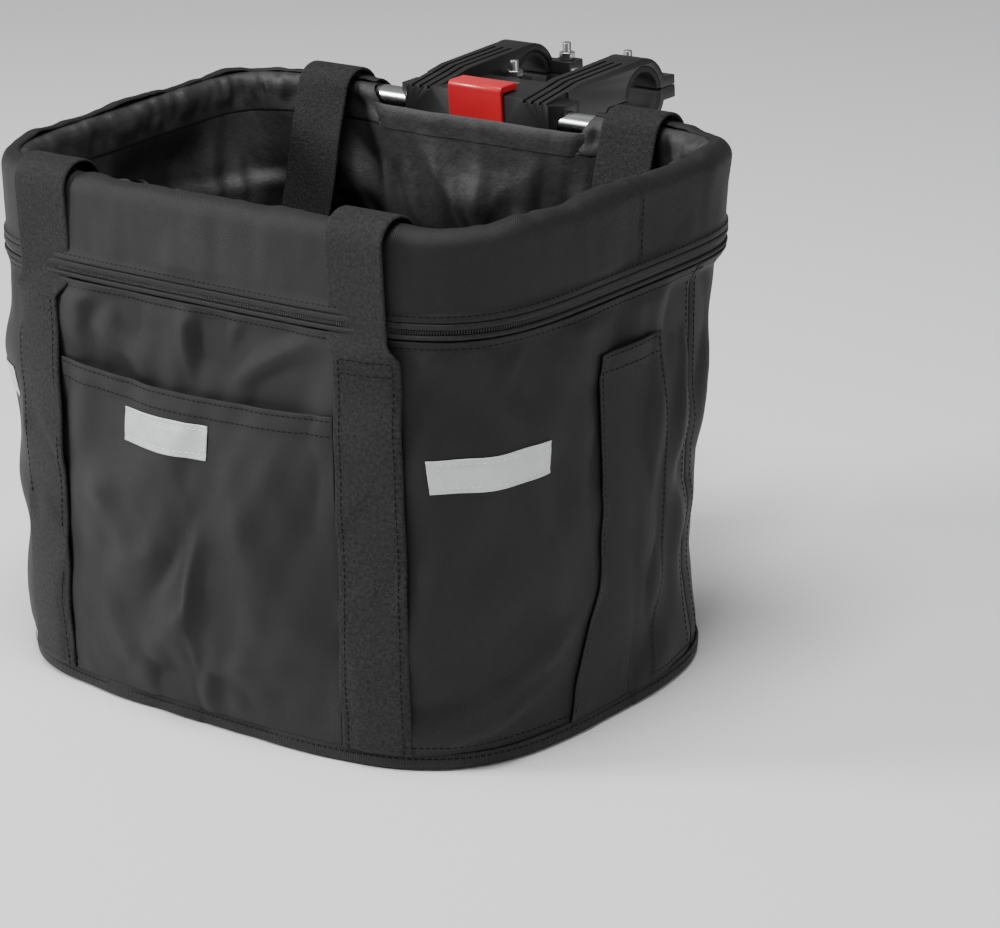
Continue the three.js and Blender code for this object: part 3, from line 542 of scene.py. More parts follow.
def layered(tree, weave, depth, middle, layers):
    """A weave about its middle shade, with noises of a given weight laid over it."""
    shade = maths(tree, "MULTIPLY_ADD", weave, depth, middle)
    for value, weight in layers:
        shade = maths(tree, "ADD", shade, maths(tree, "MULTIPLY_ADD", value, weight, -weight / 2))
    return shade


def object_place(tree):
    return add(tree, "ShaderNodeTexCoord").outputs["Object"]


def oxford_cloth():
    material, tree, principled = shader("oxford_cloth", (0.012, 0.012, 0.0125), 0.56,
                                        Sheen_Weight=0.02, Specular_IOR_Level=0.30)
    lay, across, up = cloth_lay(tree)
    place = object_place(tree)
    slub = noise(tree, lay, 900, 2)
    wobble = maths(tree, "MULTIPLY_ADD", noise(tree, lay, 260, 2), 0.0002, -0.0001)
    warp = wave(tree, maths(tree, "ADD", across, wobble), 0.0011)
    weft = wave(tree, maths(tree, "ADD", up, wobble), 0.0011)
    weave = maths(tree, "MULTIPLY", warp, weft)
    large = noise(tree, place, 22, 4)
    shade = layered(tree, weave, 0.22, 0.5, [(slub, 0.7), (large, 0.6)])
    tint(tree, principled, shade, (0.003, 0.003, 0.0032), (0.014, 0.014, 0.0147))
    tree.links.new(ranged(tree, large, 0.46, 0.66), principled.inputs["Roughness"])
    bumps(tree, principled, [(large, 0.0014, 0.35), (weave, 0.00016, 0.55), (slub, 0.00022, 0.4)])
    return material


def webbing_cloth():
    material, tree, principled = shader("strap_webbing", (0.02, 0.02, 0.021), 0.66,
                                        Sheen_Weight=0.02, Specular_IOR_Level=0.26)
    lay, across, along = cloth_lay(tree)
    place = object_place(tree)
    offset = maths(tree, "MULTIPLY", wave(tree, across, 0.0022), 0.0004)
    rib = wave(tree, maths(tree, "ADD", along, offset), 0.0012)
    cord = wave(tree, across, 0.0011)
    weave = maths(tree, "MULTIPLY", cord, rib)
    speckle = noise(tree, lay, 520, 3, 0.7)
    large = noise(tree, place, 35, 3)
    shade = layered(tree, weave, 0.16, 0.45, [(speckle, 2.8), (large, 0.4)])
    tint(tree, principled, shade, (0.0020, 0.0020, 0.0022), (0.026, 0.026, 0.0275))
    bumps(tree, principled, [(weave, 0.00024, 0.6), (speckle, 0.0008, 0.8)])
    return material


def binding_tape():
    material, tree, principled = shader("binding_tape", (0.015, 0.015, 0.016), 0.6, Sheen_Weight=0.02,
                                        Specular_IOR_Level=0.30)
    lay, across, _ = cloth_lay(tree)
    ribs = wave(tree, across, 0.0010)
    fuzz = noise(tree, lay, 500, 3)
    tint(tree, principled, maths(tree, "MULTIPLY_ADD", ribs, 0.2, fuzz),
         (0.005, 0.005, 0.0055), (0.020, 0.020, 0.021))
    bumps(tree, principled, [(ribs, 0.00018, 0.6), (fuzz, 0.0003, 0.4)])
    return material


def lining_cloth():
    material, tree, principled = shader("lining_nylon", (0.012, 0.012, 0.013), 0.42,
                                        Sheen_Weight=0.02, Specular_IOR_Level=0.45)
    lay, across, up = cloth_lay(tree)
    place = object_place(tree)
    crumple = noise(tree, place, 60, 5, 0.6)
    fine = noise(tree, lay, 1600, 2)
    weave = maths(tree, "MULTIPLY", wave(tree, across, 0.0006), wave(tree, up, 0.0006))
    tint(tree, principled, crumple, (0.014, 0.014, 0.015), (0.034, 0.034, 0.036))
    tree.links.new(ranged(tree, crumple, 0.42, 0.60), principled.inputs["Roughness"])
    bumps(tree, principled, [(crumple, 0.0022, 0.5), (weave, 0.00008, 0.4), (fine, 0.0001, 0.3)])
    return material


def reflective_tape():
    material, tree, principled = shader("reflective_tape", (0.62, 0.64, 0.65), 0.38, Metallic=0.25)
    lay, across, up = cloth_lay(tree)
    beads = noise(tree, lay, 2600, 2)
    scuff = noise(tree, lay, 130, 4, 0.6)
    tint(tree, principled, scuff, (0.50, 0.515, 0.525), (0.68, 0.69, 0.70))
    tree.links.new(ranged(tree, scuff, 0.3, 0.5), principled.inputs["Roughness"])
    weave = maths(tree, "MULTIPLY", wave(tree, across, 0.0011), wave(tree, up, 0.0011))
    bumps(tree, principled, [(weave, 0.0001, 0.3), (beads, 0.00015, 0.5), (scuff, 0.0006, 0.3)])
    return material


def moulded(name, dark, light, roughness, grain=2200, depth=0.00012, **values):
    """Moulded plastic with a spark-eroded grain and rubbed edges."""
    material, tree, principled = shader(name, light, roughness, **values)
    place = object_place(tree)
    spark = noise(tree, place, grain, 2)
    flow = noise(tree, place, 45, 4)
    worn = add(tree, "ShaderNodeNewGeometry").outputs["Pointiness"]
    rub = add(tree, "ShaderNodeMapRange", {0: worn, 1: 0.52, 2: 0.60, 3: 0.0, 4: 0.35}).outputs[0]
    shade = maths(tree, "ADD", maths(tree, "MULTIPLY", flow, 0.65), rub)
    tint(tree, principled, shade, dark, light)
    tree.links.new(ranged(tree, flow, roughness - 0.07, roughness + 0.09),
                   principled.inputs["Roughness"])
    bumps(tree, principled, [(spark, depth, 0.5), (flow, 0.0004, 0.15)])
    return material


def metal(name, color, roughness, stretch=(60, 900, 900)):
    """Metal with fine drawn or turned lines along X."""
    material, tree, principled = shader(name, color, roughness, Metallic=1.0, Anisotropic=0.3)
    place = object_place(tree)
    lined = add(tree, "ShaderNodeMapping", {0: place, 3: stretch}).outputs[0]
    lines = noise(tree, lined, 1.0, 3)
    dull = noise(tree, place, 120, 4)
    tint(tree, principled, dull, tuple(0.82 * c for c in color), color)
    tree.links.new(ranged(tree, lines, roughness - 0.06, roughness + 0.12),
                   principled.inputs["Roughness"])
    bumps(tree, principled, [(lines, 0.00004, 0.4), (dull, 0.0001, 0.2)])
    return material


def braided_cord():
    material, tree, principled = shader("cord_braid", (0.02, 0.02, 0.021), 0.75, Sheen_Weight=0.3)
    _, around, along = cloth_lay(tree)
    one = wave(tree, maths(tree, "ADD", along, around), 0.0014)
    two = wave(tree, maths(tree, "SUBTRACT", along, around), 0.0014)
    braid = maths(tree, "MULTIPLY", one, two)
    tint(tree, principled, maths(tree, "MULTIPLY_ADD", braid, 0.4, 0.5),
         (0.010, 0.010, 0.011), (0.035, 0.035, 0.037))
    bumps(tree, principled, [(braid, 0.0002, 0.6)])
    return material


OXFORD = oxford_cloth()
STRAP = webbing_cloth()
BINDING = binding_tape()
NYLON = lining_cloth()
TAPE = reflective_tape()
CORD = braided_cord()
HOUSING = moulded("housing_plastic", (0.006, 0.006, 0.0065), (0.020, 0.020, 0.021), 0.42)
SMOOTH_PLASTIC = moulded("smooth_plastic", (0.010, 0.010, 0.011), (0.026, 0.026, 0.028), 0.34, 1500)
COIL_PLASTIC = moulded("coil_plastic", (0.014, 0.014, 0.015), (0.034, 0.034, 0.036), 0.36, 3000)
RED_PLASTIC = moulded("red_plastic", (0.50, 0.010, 0.018), (0.72, 0.022, 0.032), 0.32, 1800, 0.00005,
                      Coat_Weight=0.25)
BOARD = moulded("base_sheet", (0.10, 0.10, 0.10), (0.18, 0.18, 0.18), 0.6)
RUBBER = moulded("shim_rubber", (0.008, 0.008, 0.008), (0.022, 0.022, 0.022), 0.75, 1200, 0.0002)
THREAD = moulded("black_thread", (0.002, 0.002, 0.0022), (0.008, 0.008, 0.0085), 0.8, 5000, 0.0001,
                 Specular_IOR_Level=0.12)
PALE_THREAD = moulded("pale_thread", (0.55, 0.56, 0.56), (0.85, 0.86, 0.86), 0.5, 5000, 0.0001)
ALUMINIUM = metal("drawn_aluminium", (0.80, 0.81, 0.82), 0.22)
STEEL = metal("plated_steel", (0.62, 0.63, 0.64), 0.28, (700, 700, 90))
BLACK_METAL = moulded("black_lacquer", (0.010, 0.010, 0.011), (0.05, 0.05, 0.052), 0.3, 900, 0.0001,
                      Coat_Weight=0.4)


# ---- drawcord -----------------------------------------------------------------------------------
CORD_START = (-0.1672, 0.007, 0.222)
# From the lining down through the lock to the bottom of the loop, on the front half.
CORD_KNOTS = [
    CORD_START, (CORD_START[0] + 0.004, 0.007, 0.2216), (CORD_X - 0.0016, 0.007, 0.218),
    (CORD_X, 0.007, 0.212), (CORD_X, 0.007, 0.203), (CORD_X, 0.007, 0.193),
    (CORD_X, 0.005, 0.183), (CORD_X, 0.0035, 0.175), (CORD_X, 0.0052, 0.1684),
]
CORD_BOTTOM = (CORD_X, CORD_Y, 0.166)
CORD_STEPS, CORD_SIDES = 181, 16


def smooth_curve(knots, count):
    """Points on a smooth curve through knots."""
    gaps = np.sqrt(np.linalg.norm(np.diff(knots, axis=0), axis=1))
    times = np.concatenate([[0], np.cumsum(gaps)])
    slopes = np.gradient(knots, times, axis=0)
    at = np.linspace(0, times[-1], count)
    k = np.clip(np.searchsorted(times, at, side="right") - 1, 0, len(times) - 2)
    width = (times[k + 1] - times[k])[:, None]
    t = ((at - times[k])[:, None]) / width
    return ((2 * t ** 3 - 3 * t ** 2 + 1) * knots[k] + (t ** 3 - 2 * t ** 2 + t) * width * slopes[k]
            + (3 * t ** 2 - 2 * t ** 3) * knots[k + 1] + (t ** 3 - t ** 2) * width * slopes[k + 1])


def side_vectors(path):
    """Two directions square to a path at each of its points, without a twist."""
    tangent = np.gradient(path, axis=0)
    tangent /= np.linalg.norm(tangent, axis=1, keepdims=True)
    side = np.array([1.0, 0, 0]) - tangent * tangent[:, :1]
    side[0] = np.cross(tangent[0], (0, 1, 0))
    for n in range(len(side)):
        if n and np.linalg.norm(side[n]) < 0.6:
            side[n] = side[n - 1] - tangent[n] * (side[n - 1] @ tangent[n])
        side[n] /= np.linalg.norm(side[n])
    return side, np.cross(tangent, side)


def make_drawcord():
    far = [(x, 2 * CORD_Y - y, z) for x, y, z in reversed(CORD_KNOTS)]
    path = smooth_curve(np.array([*CORD_KNOTS, CORD_BOTTOM, *far]), CORD_STEPS)
    run = length_along(path)
    side, other = side_vectors(path)
    turn = np.arange(CORD_SIDES) * 2 * math.pi / CORD_SIDES
    ring = (path[:, None] + CORD_R * (side[:, None] * np.cos(turn)[None, :, None]
                                      + other[:, None] * np.sin(turn)[None, :, None]))
    index = np.arange(CORD_STEPS * CORD_SIDES).reshape(CORD_STEPS, CORD_SIDES)
    after = np.roll(index, -1, 1)
    faces = np.stack([index[:-1], after[:-1], after[1:], index[1:]], -1).reshape(-1, 4).tolist()
    faces += [index[0, ::-1].tolist(), index[-1].tolist()]
    piece = finish_mesh("drawcord_braid", ring.reshape(-1, 3), faces, CORD, "basket", "cord",
                        ["drawcord"], lay_of(turn * CORD_R, run[:, None]))
    tuple(path[0])


make_drawcord()


# ---- fabric body --------------------------------------------------------------------------------
def panel_out(s, z):
    """The outer cloth, with its upper edge folded under along the zip."""
    return cloth_relief(s, z) + 0.0010 * smooth(ZIP_LOW - 0.0042, ZIP_LOW - 0.0022, z)


def seam_roll(edges):
    """The outer cloth, turned in at its two side seams."""
    def out(s, z):
        left, right = edges(z[:, z.shape[1] // 2])
        near = np.minimum(s - left[:, None], right[:, None] - s)
        return panel_out(s, z) - 0.0008 * (1 - smooth(0, 0.0022, near))
    return out


def make_panels():
    low, high = level(0.0016), level(ZIP_LOW - 0.0003)
    gap = 0.0004
    edges = {
        "front_panel": lambda z: (s_front(-SEAM_X + gap, z), s_front(SEAM_X - gap, z)),
        "right_side_panel": lambda z: (s_front(SEAM_X + gap, z) - PERIMETER,
                                       s_right(BACK_SEAM_Y - gap, z)),
        "left_side_panel": lambda z: (s_left(BACK_SEAM_Y - gap, z), s_front(-SEAM_X - gap, z)),
        "back_panel": lambda z: (s_right(BACK_SEAM_Y + gap, z), s_left(BACK_SEAM_Y + gap, z)),
    }
    for node, edge in edges.items():
        panel(node + "_cloth", edge, (low, high), seam_roll(edge), PANEL_CLOTH, OXFORD, "oxford",
              replaced=[node])
    z = np.linspace(0.010, ZIP_LOW - 0.003, 120)
    for find in (s_right, s_left):
        for shift in (-0.0042, 0.0042):
            sew_wall("dark", find(BACK_SEAM_Y, z) + shift, z, plus(panel_out))


def disc(name, z, inset, dent, thick, material, slot, **more):
    """A flat sheet inside the wall at height z, slightly dented."""
    s = np.arange(420) * PERIMETER / 420
    shares = np.concatenate([[0, 0.002, 0.005], np.linspace(0.02, 0.995, 46)])
    edge = wall(s, z, -inset)
    centre = np.array([0, -0.008, z])
    middle = centre + (edge[None] - centre) * (1 - shares[:, None, None])
    lifted = dent * ripple(middle[..., 0], middle[..., 1], 31, 0.05, 0.12)
    middle[..., 2] += lifted * smooth(0, 0.15, shares)[:, None]
    skin(name, middle, thick, material, slot, closed=True, cloth=middle.copy(), **more)


def foot_out(s, z):
    return 0.0019 + 0.00025 * ripple(s, z, 41, 0.02, 0.05) - 0.0006 * smooth(0.004, 0.008, z)


RING = np.linspace(0, PERIMETER, 1400)


def make_base():
    """The underside, the floor of the lining and the bound edge round the foot."""
    disc("base_cloth", 0.0006, 0.0004, 0.0, BAND_CLOTH, OXFORD, "oxford", replaced=["base_panel"])
    disc("lining_floor", 0.0053, 0.0030, 0.00012, 0.0007, NYLON, "lining")
    panel("foot_binding", None, (level(0.0004), level(BINDING_TOP + 0.0006)), foot_out, 0.0012,
          BINDING, "webbing", pitch=0.0022, closed=True, replaced=["bottom_binding"])
    sew_wall("dark", RING, 0.0056, lambda s, z: 0.0019 + 0 * s)
    sew_wall("dark", RING, 0.0118, plus(panel_out))


def crumple(s, run, seed, longest, stretch):
    """Gathers with crests sharper than their valleys, between about -1 and 1."""
    smooth_wave = ripple(s, run, seed, 0.35 * longest, longest, stretch, 16)
    sharp_wave = 1 - np.abs(ripple(s, run, seed + 1, 0.4 * longest, longest, stretch, 12))
    return 0.55 * smooth_wave + 0.6 * sharp_wave


def cord_side(s, z):
    """Where the drawcord and its lock hang, the lining lies close to the wall."""
    return (1 - smooth(0.022, 0.048, away(s, CORD_S))) * smooth(0.085, 0.125, z)


def lining_crumple(s, z):
    """Long upright gathers, slanting ones and fine wrinkles."""
    waves = (0.0026 * crumple(s, z, 51, 0.075, 6.0) + 0.0030 * crumple(s, z, 53, 0.130, 1.2)
             + 0.0005 * ripple(s, z, 55, 0.010, 0.022, 3.0, 18) + 0.0030)
    return np.clip(waves, 0, 0.011)


def lining_inset(s, z):
    """The lining leans inwards all the way up, to pass over the hoop."""
    cord = cord_side(s, z)
    in_gap = 1 - smooth(0.060, 0.090, away(s, BACK_S))
    early = smooth(0.13, SLEEVE_HEM, z) * (1 - cord)
    late = smooth(ZIP_HIGH, SLEEVE_HEM, z) * cord
    room = smooth(0.004, 0.05, z) * (1 - 0.82 * smooth(0.205, SLEEVE_HEM, z)) * (1 - cord)
    lean = (0.0124 + 0.0046 * in_gap) * (early + late)
    return LINING_INSET + lean + lining_crumple(s, z) * room


def make_lining():
    panel("lining_wall", None, (level(0.0052), level(SLEEVE_HEM + 0.0004)),
          lambda s, z: -lining_inset(s, z) + THIN_CLOTH / 2, THIN_CLOTH, NYLON, "lining",
          pitch=0.0024, closed=True, replaced=["lining"])


# ---- sleeve over the hoop -----------------------------------------------------------------------
COLLAR_INSET = 2 * SLEEVE_R - FOLD_FINE


def over_hoop(start, stop):
    """(inset, z) over the hoop between two angles, 0 being its outside and pi its inside."""
    radius = SLEEVE_R - FOLD_FINE
    turn = np.linspace(start, stop, max(8, round((stop - start) / 0.16)))
    return SLEEVE_R - radius * np.cos(turn), HOOP_Z + radius * np.sin(turn)


def hoop_cloth(name, inset, z, relief, thick, material, slot, **more):
    """Cloth that follows a section all round the basket but for the gap at the back."""
    run = length_along(np.stack([inset, z], -1))
    gap = SLEEVE_GAP + GAP_OPENING * smooth(0.255, RIM_TOP, z)
    right, left = s_back(gap, z), s_back(-gap, z)
    share = stops(PERIMETER - 0.14, 0.0022)
    s = left[:, None] + (right + PERIMETER - left)[:, None] * share[None]
    middle = wall(s, z[:, None], -inset[:, None])
    raised = relief(s, run[:, None])
    middle = middle + grid_normals(middle, False) * raised[..., None]
    return skin(name, middle, thick, material, slot, cloth=lay_of(s, run[:, None]), **more)


def band_relief(s, run):
    """The band is folded under along the zip and gathered along its upper edge."""
    slack = 0.0008 * ripple(s, run, 62, 0.05, 0.12, 1.0, 12)
    gather = ripple(s, run, 61, 0.012, 0.035, 2.5, 20)
    fold = BAND_FOLD * (1 - smooth(0.0022, 0.0052, run))
    seams = sum(np.exp(-(away(s, seam) / 0.0010) ** 2) for seam in (SIDE_SEAM_S, CORD_S))
    hem = 0.0002 * smooth(0.0445, 0.0465, run)
    hem = hem + 0.0003 * smooth(0.038, 0.047, run) * np.clip(gather, -0.4, 1.6)
    loose = np.clip(slack + 0.0005 + 0.0002 * gather, -0.0002, 0.0022) * smooth(0.001, 0.008, run)
    return loose + fold - 0.0007 * seams + hem


def make_band():
    """The outer cloth from the zip up and over the hoop."""
    rise = np.concatenate([ZIP_HIGH + np.array([0.0006, 0.0010, 0.0016, 0.0024, 0.0034, 0.0044]),
                           np.linspace(ZIP_HIGH + 0.0060, HOOP_Z, 16)[:-1]])
    inset, z = over_hoop(0, RIM_EDGE)
    inset, z = np.concatenate([0 * rise + FOLD_FINE, inset]), np.concatenate([rise, z])
    hoop_cloth("rim_band", inset, z, band_relief, BAND_CLOTH, OXFORD, "oxford",
               replaced=["rim_sleeve"])


def make_collar():
    """Thin cloth from under the band's edge down the inside of the hoop to the lining."""
    inset, z = over_hoop(RIM_EDGE - 0.35, math.pi)
    fall = np.linspace(HOOP_Z, SLEEVE_HEM - 0.0015, 9)[1:]
    inset, z = np.concatenate([inset, 0 * fall + COLLAR_INSET]), np.concatenate([z, fall])
    end = length_along(np.stack([inset, z], -1))[-1]

    def relief(s, run):
        free = smooth(0.0015, 0.007, run)
        waves = 0.0009 * crumple(s, run, 64, 0.030, 2.6) + 0.0005 * ripple(s, run, 66, 0.008, 0.018, 2.0)
        own = np.clip(waves + 0.0004, -0.0004, 0.0030) * free - 0.0006 * (1 - free)
        joined = smooth(end - 0.011, end - 0.001, run)
        below = lining_inset(s, SLEEVE_HEM) - COLLAR_INSET
        return own * (1 - joined) + (below + 0.0002) * joined

    hoop_cloth("collar_lining", inset, z, relief, THIN_CLOTH, NYLON, "lining")


def flap_out(s, z):
    """The lining goes on up behind the block, tucked in at its ends and rolled at its top."""
    tucked = 0.0020 * smooth(0.068, 0.078, away(s, BACK_S))
    rolled = 0.0010 * smooth(FLAP_TOP - 0.0025, FLAP_TOP, z)
    return tucked + rolled - lining_inset(s, np.minimum(z, SLEEVE_HEM)) - 0.0001


def back_edges(half):
    return lambda z: (s_back(half, z), s_back(-half, z))


def make_sleeve():
    make_band()
    make_collar()
    panel("rim_band_back", back_edges(SLEEVE_GAP + 0.004), (level(ZIP_HIGH + 0.0003), level(0.2500)),
          lambda s, z: 0.0003 * ripple(s, z, 63, 0.02, 0.05) - 0.0002, BAND_CLOTH, OXFORD, "oxford")
    panel("collar_flap", back_edges(SLEEVE_GAP + 0.010), (level(SLEEVE_HEM - 0.0022), level(FLAP_TOP)),
          flap_out, THIN_CLOTH, NYLON, "lining")
    ring = RING[away(RING, BACK_S) > SLEEVE_GAP + 0.004]
    ring = np.roll(ring, -int(np.argmax(np.diff(ring))) - 1)
    sew_wall("dark", ring, ZIP_HIGH + 0.0038, lambda s, z: band_relief(s, 0.0032) + THREAD_LIFT)
    up = np.linspace(ZIP_HIGH + 0.006, HOOP_Z, 40)
    for seam in (SIDE_SEAM_S, CORD_S):
        sew_wall("dark", seam + 0.0026 + 0 * up, up,
                 lambda s, z: band_relief(s, z - ZIP_HIGH - 0.0006))


# ---- zip ----------------------------------------------------------------------------------------
def proud(s):
    """The zip stands out a little, but lies flat where the bracket passes behind."""
    return ZIP_PROUD * smooth(0.070, 0.090, away(s, BACK_S)) - 0.0002


def make_zip():
    """Two tapes with rolled edges, and the coil in the groove between them."""
    middle = (ZIP_LOW + ZIP_HIGH) / 2
    for name, low, high in (("lower", ZIP_LOW + 0.0004, middle - 0.0013),
                            ("upper", middle + 0.0013, ZIP_HIGH + 0.0004)):
        panel(f"{name}_zip_tape", None, (level(low), level(high)),
              lambda s, z, a=low, b=high: proud(s) * (1 + 0.6 * np.sin(math.pi * (z - a) / (b - a))),
              ZIP_CLOTH, BINDING, "zip_tape", closed=True, replaced=[f"zip_tape_{name}"])
    count = round(PERIMETER / TOOTH_PITCH)
    s = np.arange(count) * PERIMETER / count
    rows = []
    for shift, lean in ((0.00055, 0.0002), (-0.00055, -0.0002)):
        low, high = (wall(s + side * lean, middle + shift + side * TOOTH_HALF, proud(s) - 0.0008)
                     for side in (-1, 1))
        rows.append((low, high, wall_normal(s), TOOTH_R))
    teeth = stitch_mesh("zip_teeth", rows, COIL_PLASTIC, "basket", "zip_coil")
    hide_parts("zip_coil")
    sew_wall("dark", RING, ZIP_LOW - 0.0040, plus(panel_out))


# ---- pockets and patches ------------------------------------------------------------------------
POCKET_CREASES = [
    (FRONT_S - 0.028, 0.079, 0.027, 0.0070, 49, -0.0051),
    (FRONT_S + 0.008, 0.080, 0.022, 0.0075, 16, 0.0045),
    (FRONT_S - 0.030, 0.045, 0.036, 0.0085, 65, 0.0051),
    (FRONT_S - 0.088, 0.146, 0.018, 0.0130, 30, 0.0045),
    (FRONT_S - 0.078, 0.112, 0.016, 0.0110, 60, 0.0030),
    (FRONT_S - 0.060, 0.076, 0.022, 0.0090, 70, 0.0027),
    (FRONT_S + 0.052, 0.100, 0.036, 0.0130, -14, 0.0024),
    (FRONT_S + 0.040, 0.034, 0.040, 0.0060, 84, 0.0018),
    (FRONT_S - 0.045, 0.022, 0.030, 0.0045, 78, -0.0021),
]


def pocket_out(s, z):
    """The front pocket hangs slack between the straps."""
    x = wall(s, z)[..., 0]
    across = np.clip(1 - (x / POCKET_HALF) ** 2, 0, 1)
    slack = (0.0092 - 0.0046 * smooth(0.13, POCKET_TOP, z)) * across * smooth(0.0, 0.085, z)
    waves = 0.0009 * ripple(s, z, 71, 0.06, 0.12) + 0.0003 * ripple(s, z, 72, 0.02, 0.04, 1.0, 18)
    held = smooth(0.006, 0.03, z) * smooth(0, 0.2, across)
    hem = FOLD_FINE * smooth(0.0, 0.0012, z - (pocket_edge(x) - HEM_FOLD))
    relief = (waves + folds(s, z, POCKET_CREASES)) * held
    return np.maximum(0.0016 + slack + relief, cloth_relief(s, z) + 0.0013) + hem


def pocket_edge(x):
    """The pocket's top edge sags in its middle."""
    return POCKET_TOP + 0.0015 - 0.0035 * np.clip(1 - (x / POCKET_HALF) ** 2, 0, 1)


def side_pocket_y(edge, z):
    return np.interp(z, SIDE_POCKET["z"], SIDE_POCKET[edge])


def side_pocket_out(s, z):
    """The pocket lies flat, with a little slack between its seams."""
    y = wall(s, z)[..., 1]
    front, back = side_pocket_y("front", z), side_pocket_y("back", z)
    across = np.clip(1 - ((2 * y - front - back) / (back - front)) ** 2, 0, 1)
    slack = 0.0026 * across * smooth(0.01, 0.06, z)
    held = smooth(0, 0.3, across) * smooth(0.01, 0.04, z)
    waves = 0.0006 * ripple(s, z, 81, 0.03, 0.07, 2.5) * held
    seam = 0.0006 * (1 - smooth(0.02, 0.16, across))
    hem = FOLD_FINE * smooth(0.0, 0.0012, z - SIDE_POCKET["top"] + HEM_FOLD)
    return np.maximum(0.0014 + slack + waves, cloth_relief(s, z) + 0.0012) + hem + seam


def between(find, front, back):
    """Edges of a sheet on a side, in the order that turns its face outwards."""
    def edges(z):
        pair = (find(front(z), z), find(back(z), z))
        return pair if find is s_right else pair[::-1]
    return edges


def side_seam(edge):
    return lambda z: side_pocket_y(edge, z)


def make_front_pocket():
    half = POCKET_HALF
    panel("front_pocket_cloth", lambda z: (s_front(-half, z), s_front(half, z)),
          (level(BINDING_TOP + 0.0004), lambda share: pocket_edge(-half + 2 * half * share)),
          pocket_out, POCKET_CLOTH, OXFORD, "oxford", pitch=0.0022, replaced=["front_pocket"])
    x = np.linspace(-half + 0.001, half - 0.001, 240)
    for drop in HEM_SEAMS:
        z = pocket_edge(x) - drop
        sew_wall("dark", s_front(x, z), z, plus(pocket_out))


def make_side_pocket(side, find):
    rim = SIDE_POCKET["top"]
    panel(f"{side}_pocket_cloth", between(find, side_seam("front"), side_seam("back")),
          (level(BINDING_TOP + 0.0004), level(rim)), side_pocket_out, POCKET_CLOTH, OXFORD, "oxford",
          pitch=0.0022, replaced=[f"{side}_side_pocket"])
    z = np.linspace(0.012, rim - 0.002, 130)
    for y in (side_pocket_y("front", z) + HEM_SEAMS[0], side_pocket_y("back", z) - HEM_SEAMS[0]):
        sew_wall("dark", find(y, z), z, plus(side_pocket_out))
    y = np.linspace(side_pocket_y("front", rim) + 0.003, side_pocket_y("back", rim) - 0.003, 60)
    for drop in HEM_SEAMS:
        sew_wall("dark", find(y, rim - drop), rim - drop, plus(side_pocket_out))


def make_pockets():
    make_front_pocket()
    make_side_pocket("right", s_right)
    make_side_pocket("left", s_left)


def dimple(out):
    """Reflective tape on a surface stands proud, and its stitching pulls it in."""
    def tape(s, z):
        near = (np.minimum(z - PATCH["low"], PATCH["high"] - z) - PATCH_RIM) / 0.0008
        return out(s, z) + 0.00075 - 0.00035 * np.exp(-near ** 2)
    return tape


def border(find, a, b, out):
    """Pale stitches round a patch."""
    low, high = PATCH["low"] + PATCH_RIM, PATCH["high"] - PATCH_RIM
    across, up = np.linspace(a + PATCH_RIM, b - PATCH_RIM, 80), np.linspace(low, high, 30)
    size = {"radius": 0.00034, "length": 0.0021}
    for z in (low, high):
        sew_wall("pale", find(across, z + 0 * across), z, out, **size)
    for edge in (a + PATCH_RIM, b - PATCH_RIM):
        sew_wall("pale", find(edge + 0 * up, up), up, out, **size)


def make_patches():
    tall = (level(PATCH["low"]), level(PATCH["high"]))
    panel("front_patch", lambda z: (s_front(PATCH["left"], z), s_front(PATCH["right"], z)), tall,
          dimple(pocket_out), THIN_CLOTH, TAPE, "reflective", pitch=0.0012,
          replaced=["front_reflector"])
    border(s_front, PATCH["left"], PATCH["right"], plus(pocket_out, 0.0006))
    front, back = PATCH["side"]
    for side, find in (("right", s_right), ("left", s_left)):
        panel(f"{side}_patch", between(find, lambda z: front, lambda z: back), tall,
              dimple(cloth_relief), THIN_CLOTH, TAPE, "reflective", pitch=0.0012,
              replaced=[f"{side}_reflector"])
        border(find, front, back, plus(cloth_relief, 0.0006))


# ---- straps and handles -------------------------------------------------------------------------
# Places across the webbing, closer together at its edges.
ACROSS = np.concatenate([[-0.0175, -0.0172, -0.0167], np.linspace(-0.0158, 0.0158, 17),
                         [0.0167, 0.0172, 0.0175]])
SEWN_COLUMNS, SEWN_ROWS = (4, 18), (89, 86)
STRAP_THREAD = 0.00095


def strap_off(z):
    """Distance of the strap's middle from the wall: sewn down below, standing off above."""
    free = np.clip((z - SEWN_TOP) / (HOOP_Z - SEWN_TOP), 0, 1)
    return 0.0024 + 0.0030 * np.sin(math.pi * free) ** 1.2


def outside_run(sign, front):
    """The strap on the outside, from the foot to the level of the hoop: rows of points."""
    z = np.concatenate([np.linspace(BINDING_TOP + 0.0005, SEWN_TOP, 90),
                        np.linspace(SEWN_TOP + 0.0015, HOOP_Z, 34)])
    find = s_front if front else s_back
    drift = (LEG_X - STRAP_X) * smooth(SEWN_TOP, 0.214, z)
    x = sign * (STRAP_X + drift)[:, None] + ACROSS[None] * (1 if front else -1)
    zz = np.broadcast_to(z[:, None], x.shape)
    s = find(x, zz)
    slack = 0.0005 * (1 + ripple(zz, x * sign * 0.3, 91, 0.030, 0.075)) * smooth(0.012, 0.03, zz)
    relief = np.clip(cloth_relief(s, zz), 0, 0.0012) + slack
    on_wall = wall(s, zz, strap_off(z)[:, None] + relief)
    swing = FRONT_SWING_Y - HANDLE_R if front else REAR_SWING_Y + HANDLE_R
    flat = np.stack([x, 0 * x + swing, zz], -1)
    flatten = smooth(0.2045, 0.219, z)[:, None, None]
    return on_wall * (1 - flatten) + flat * flatten, z


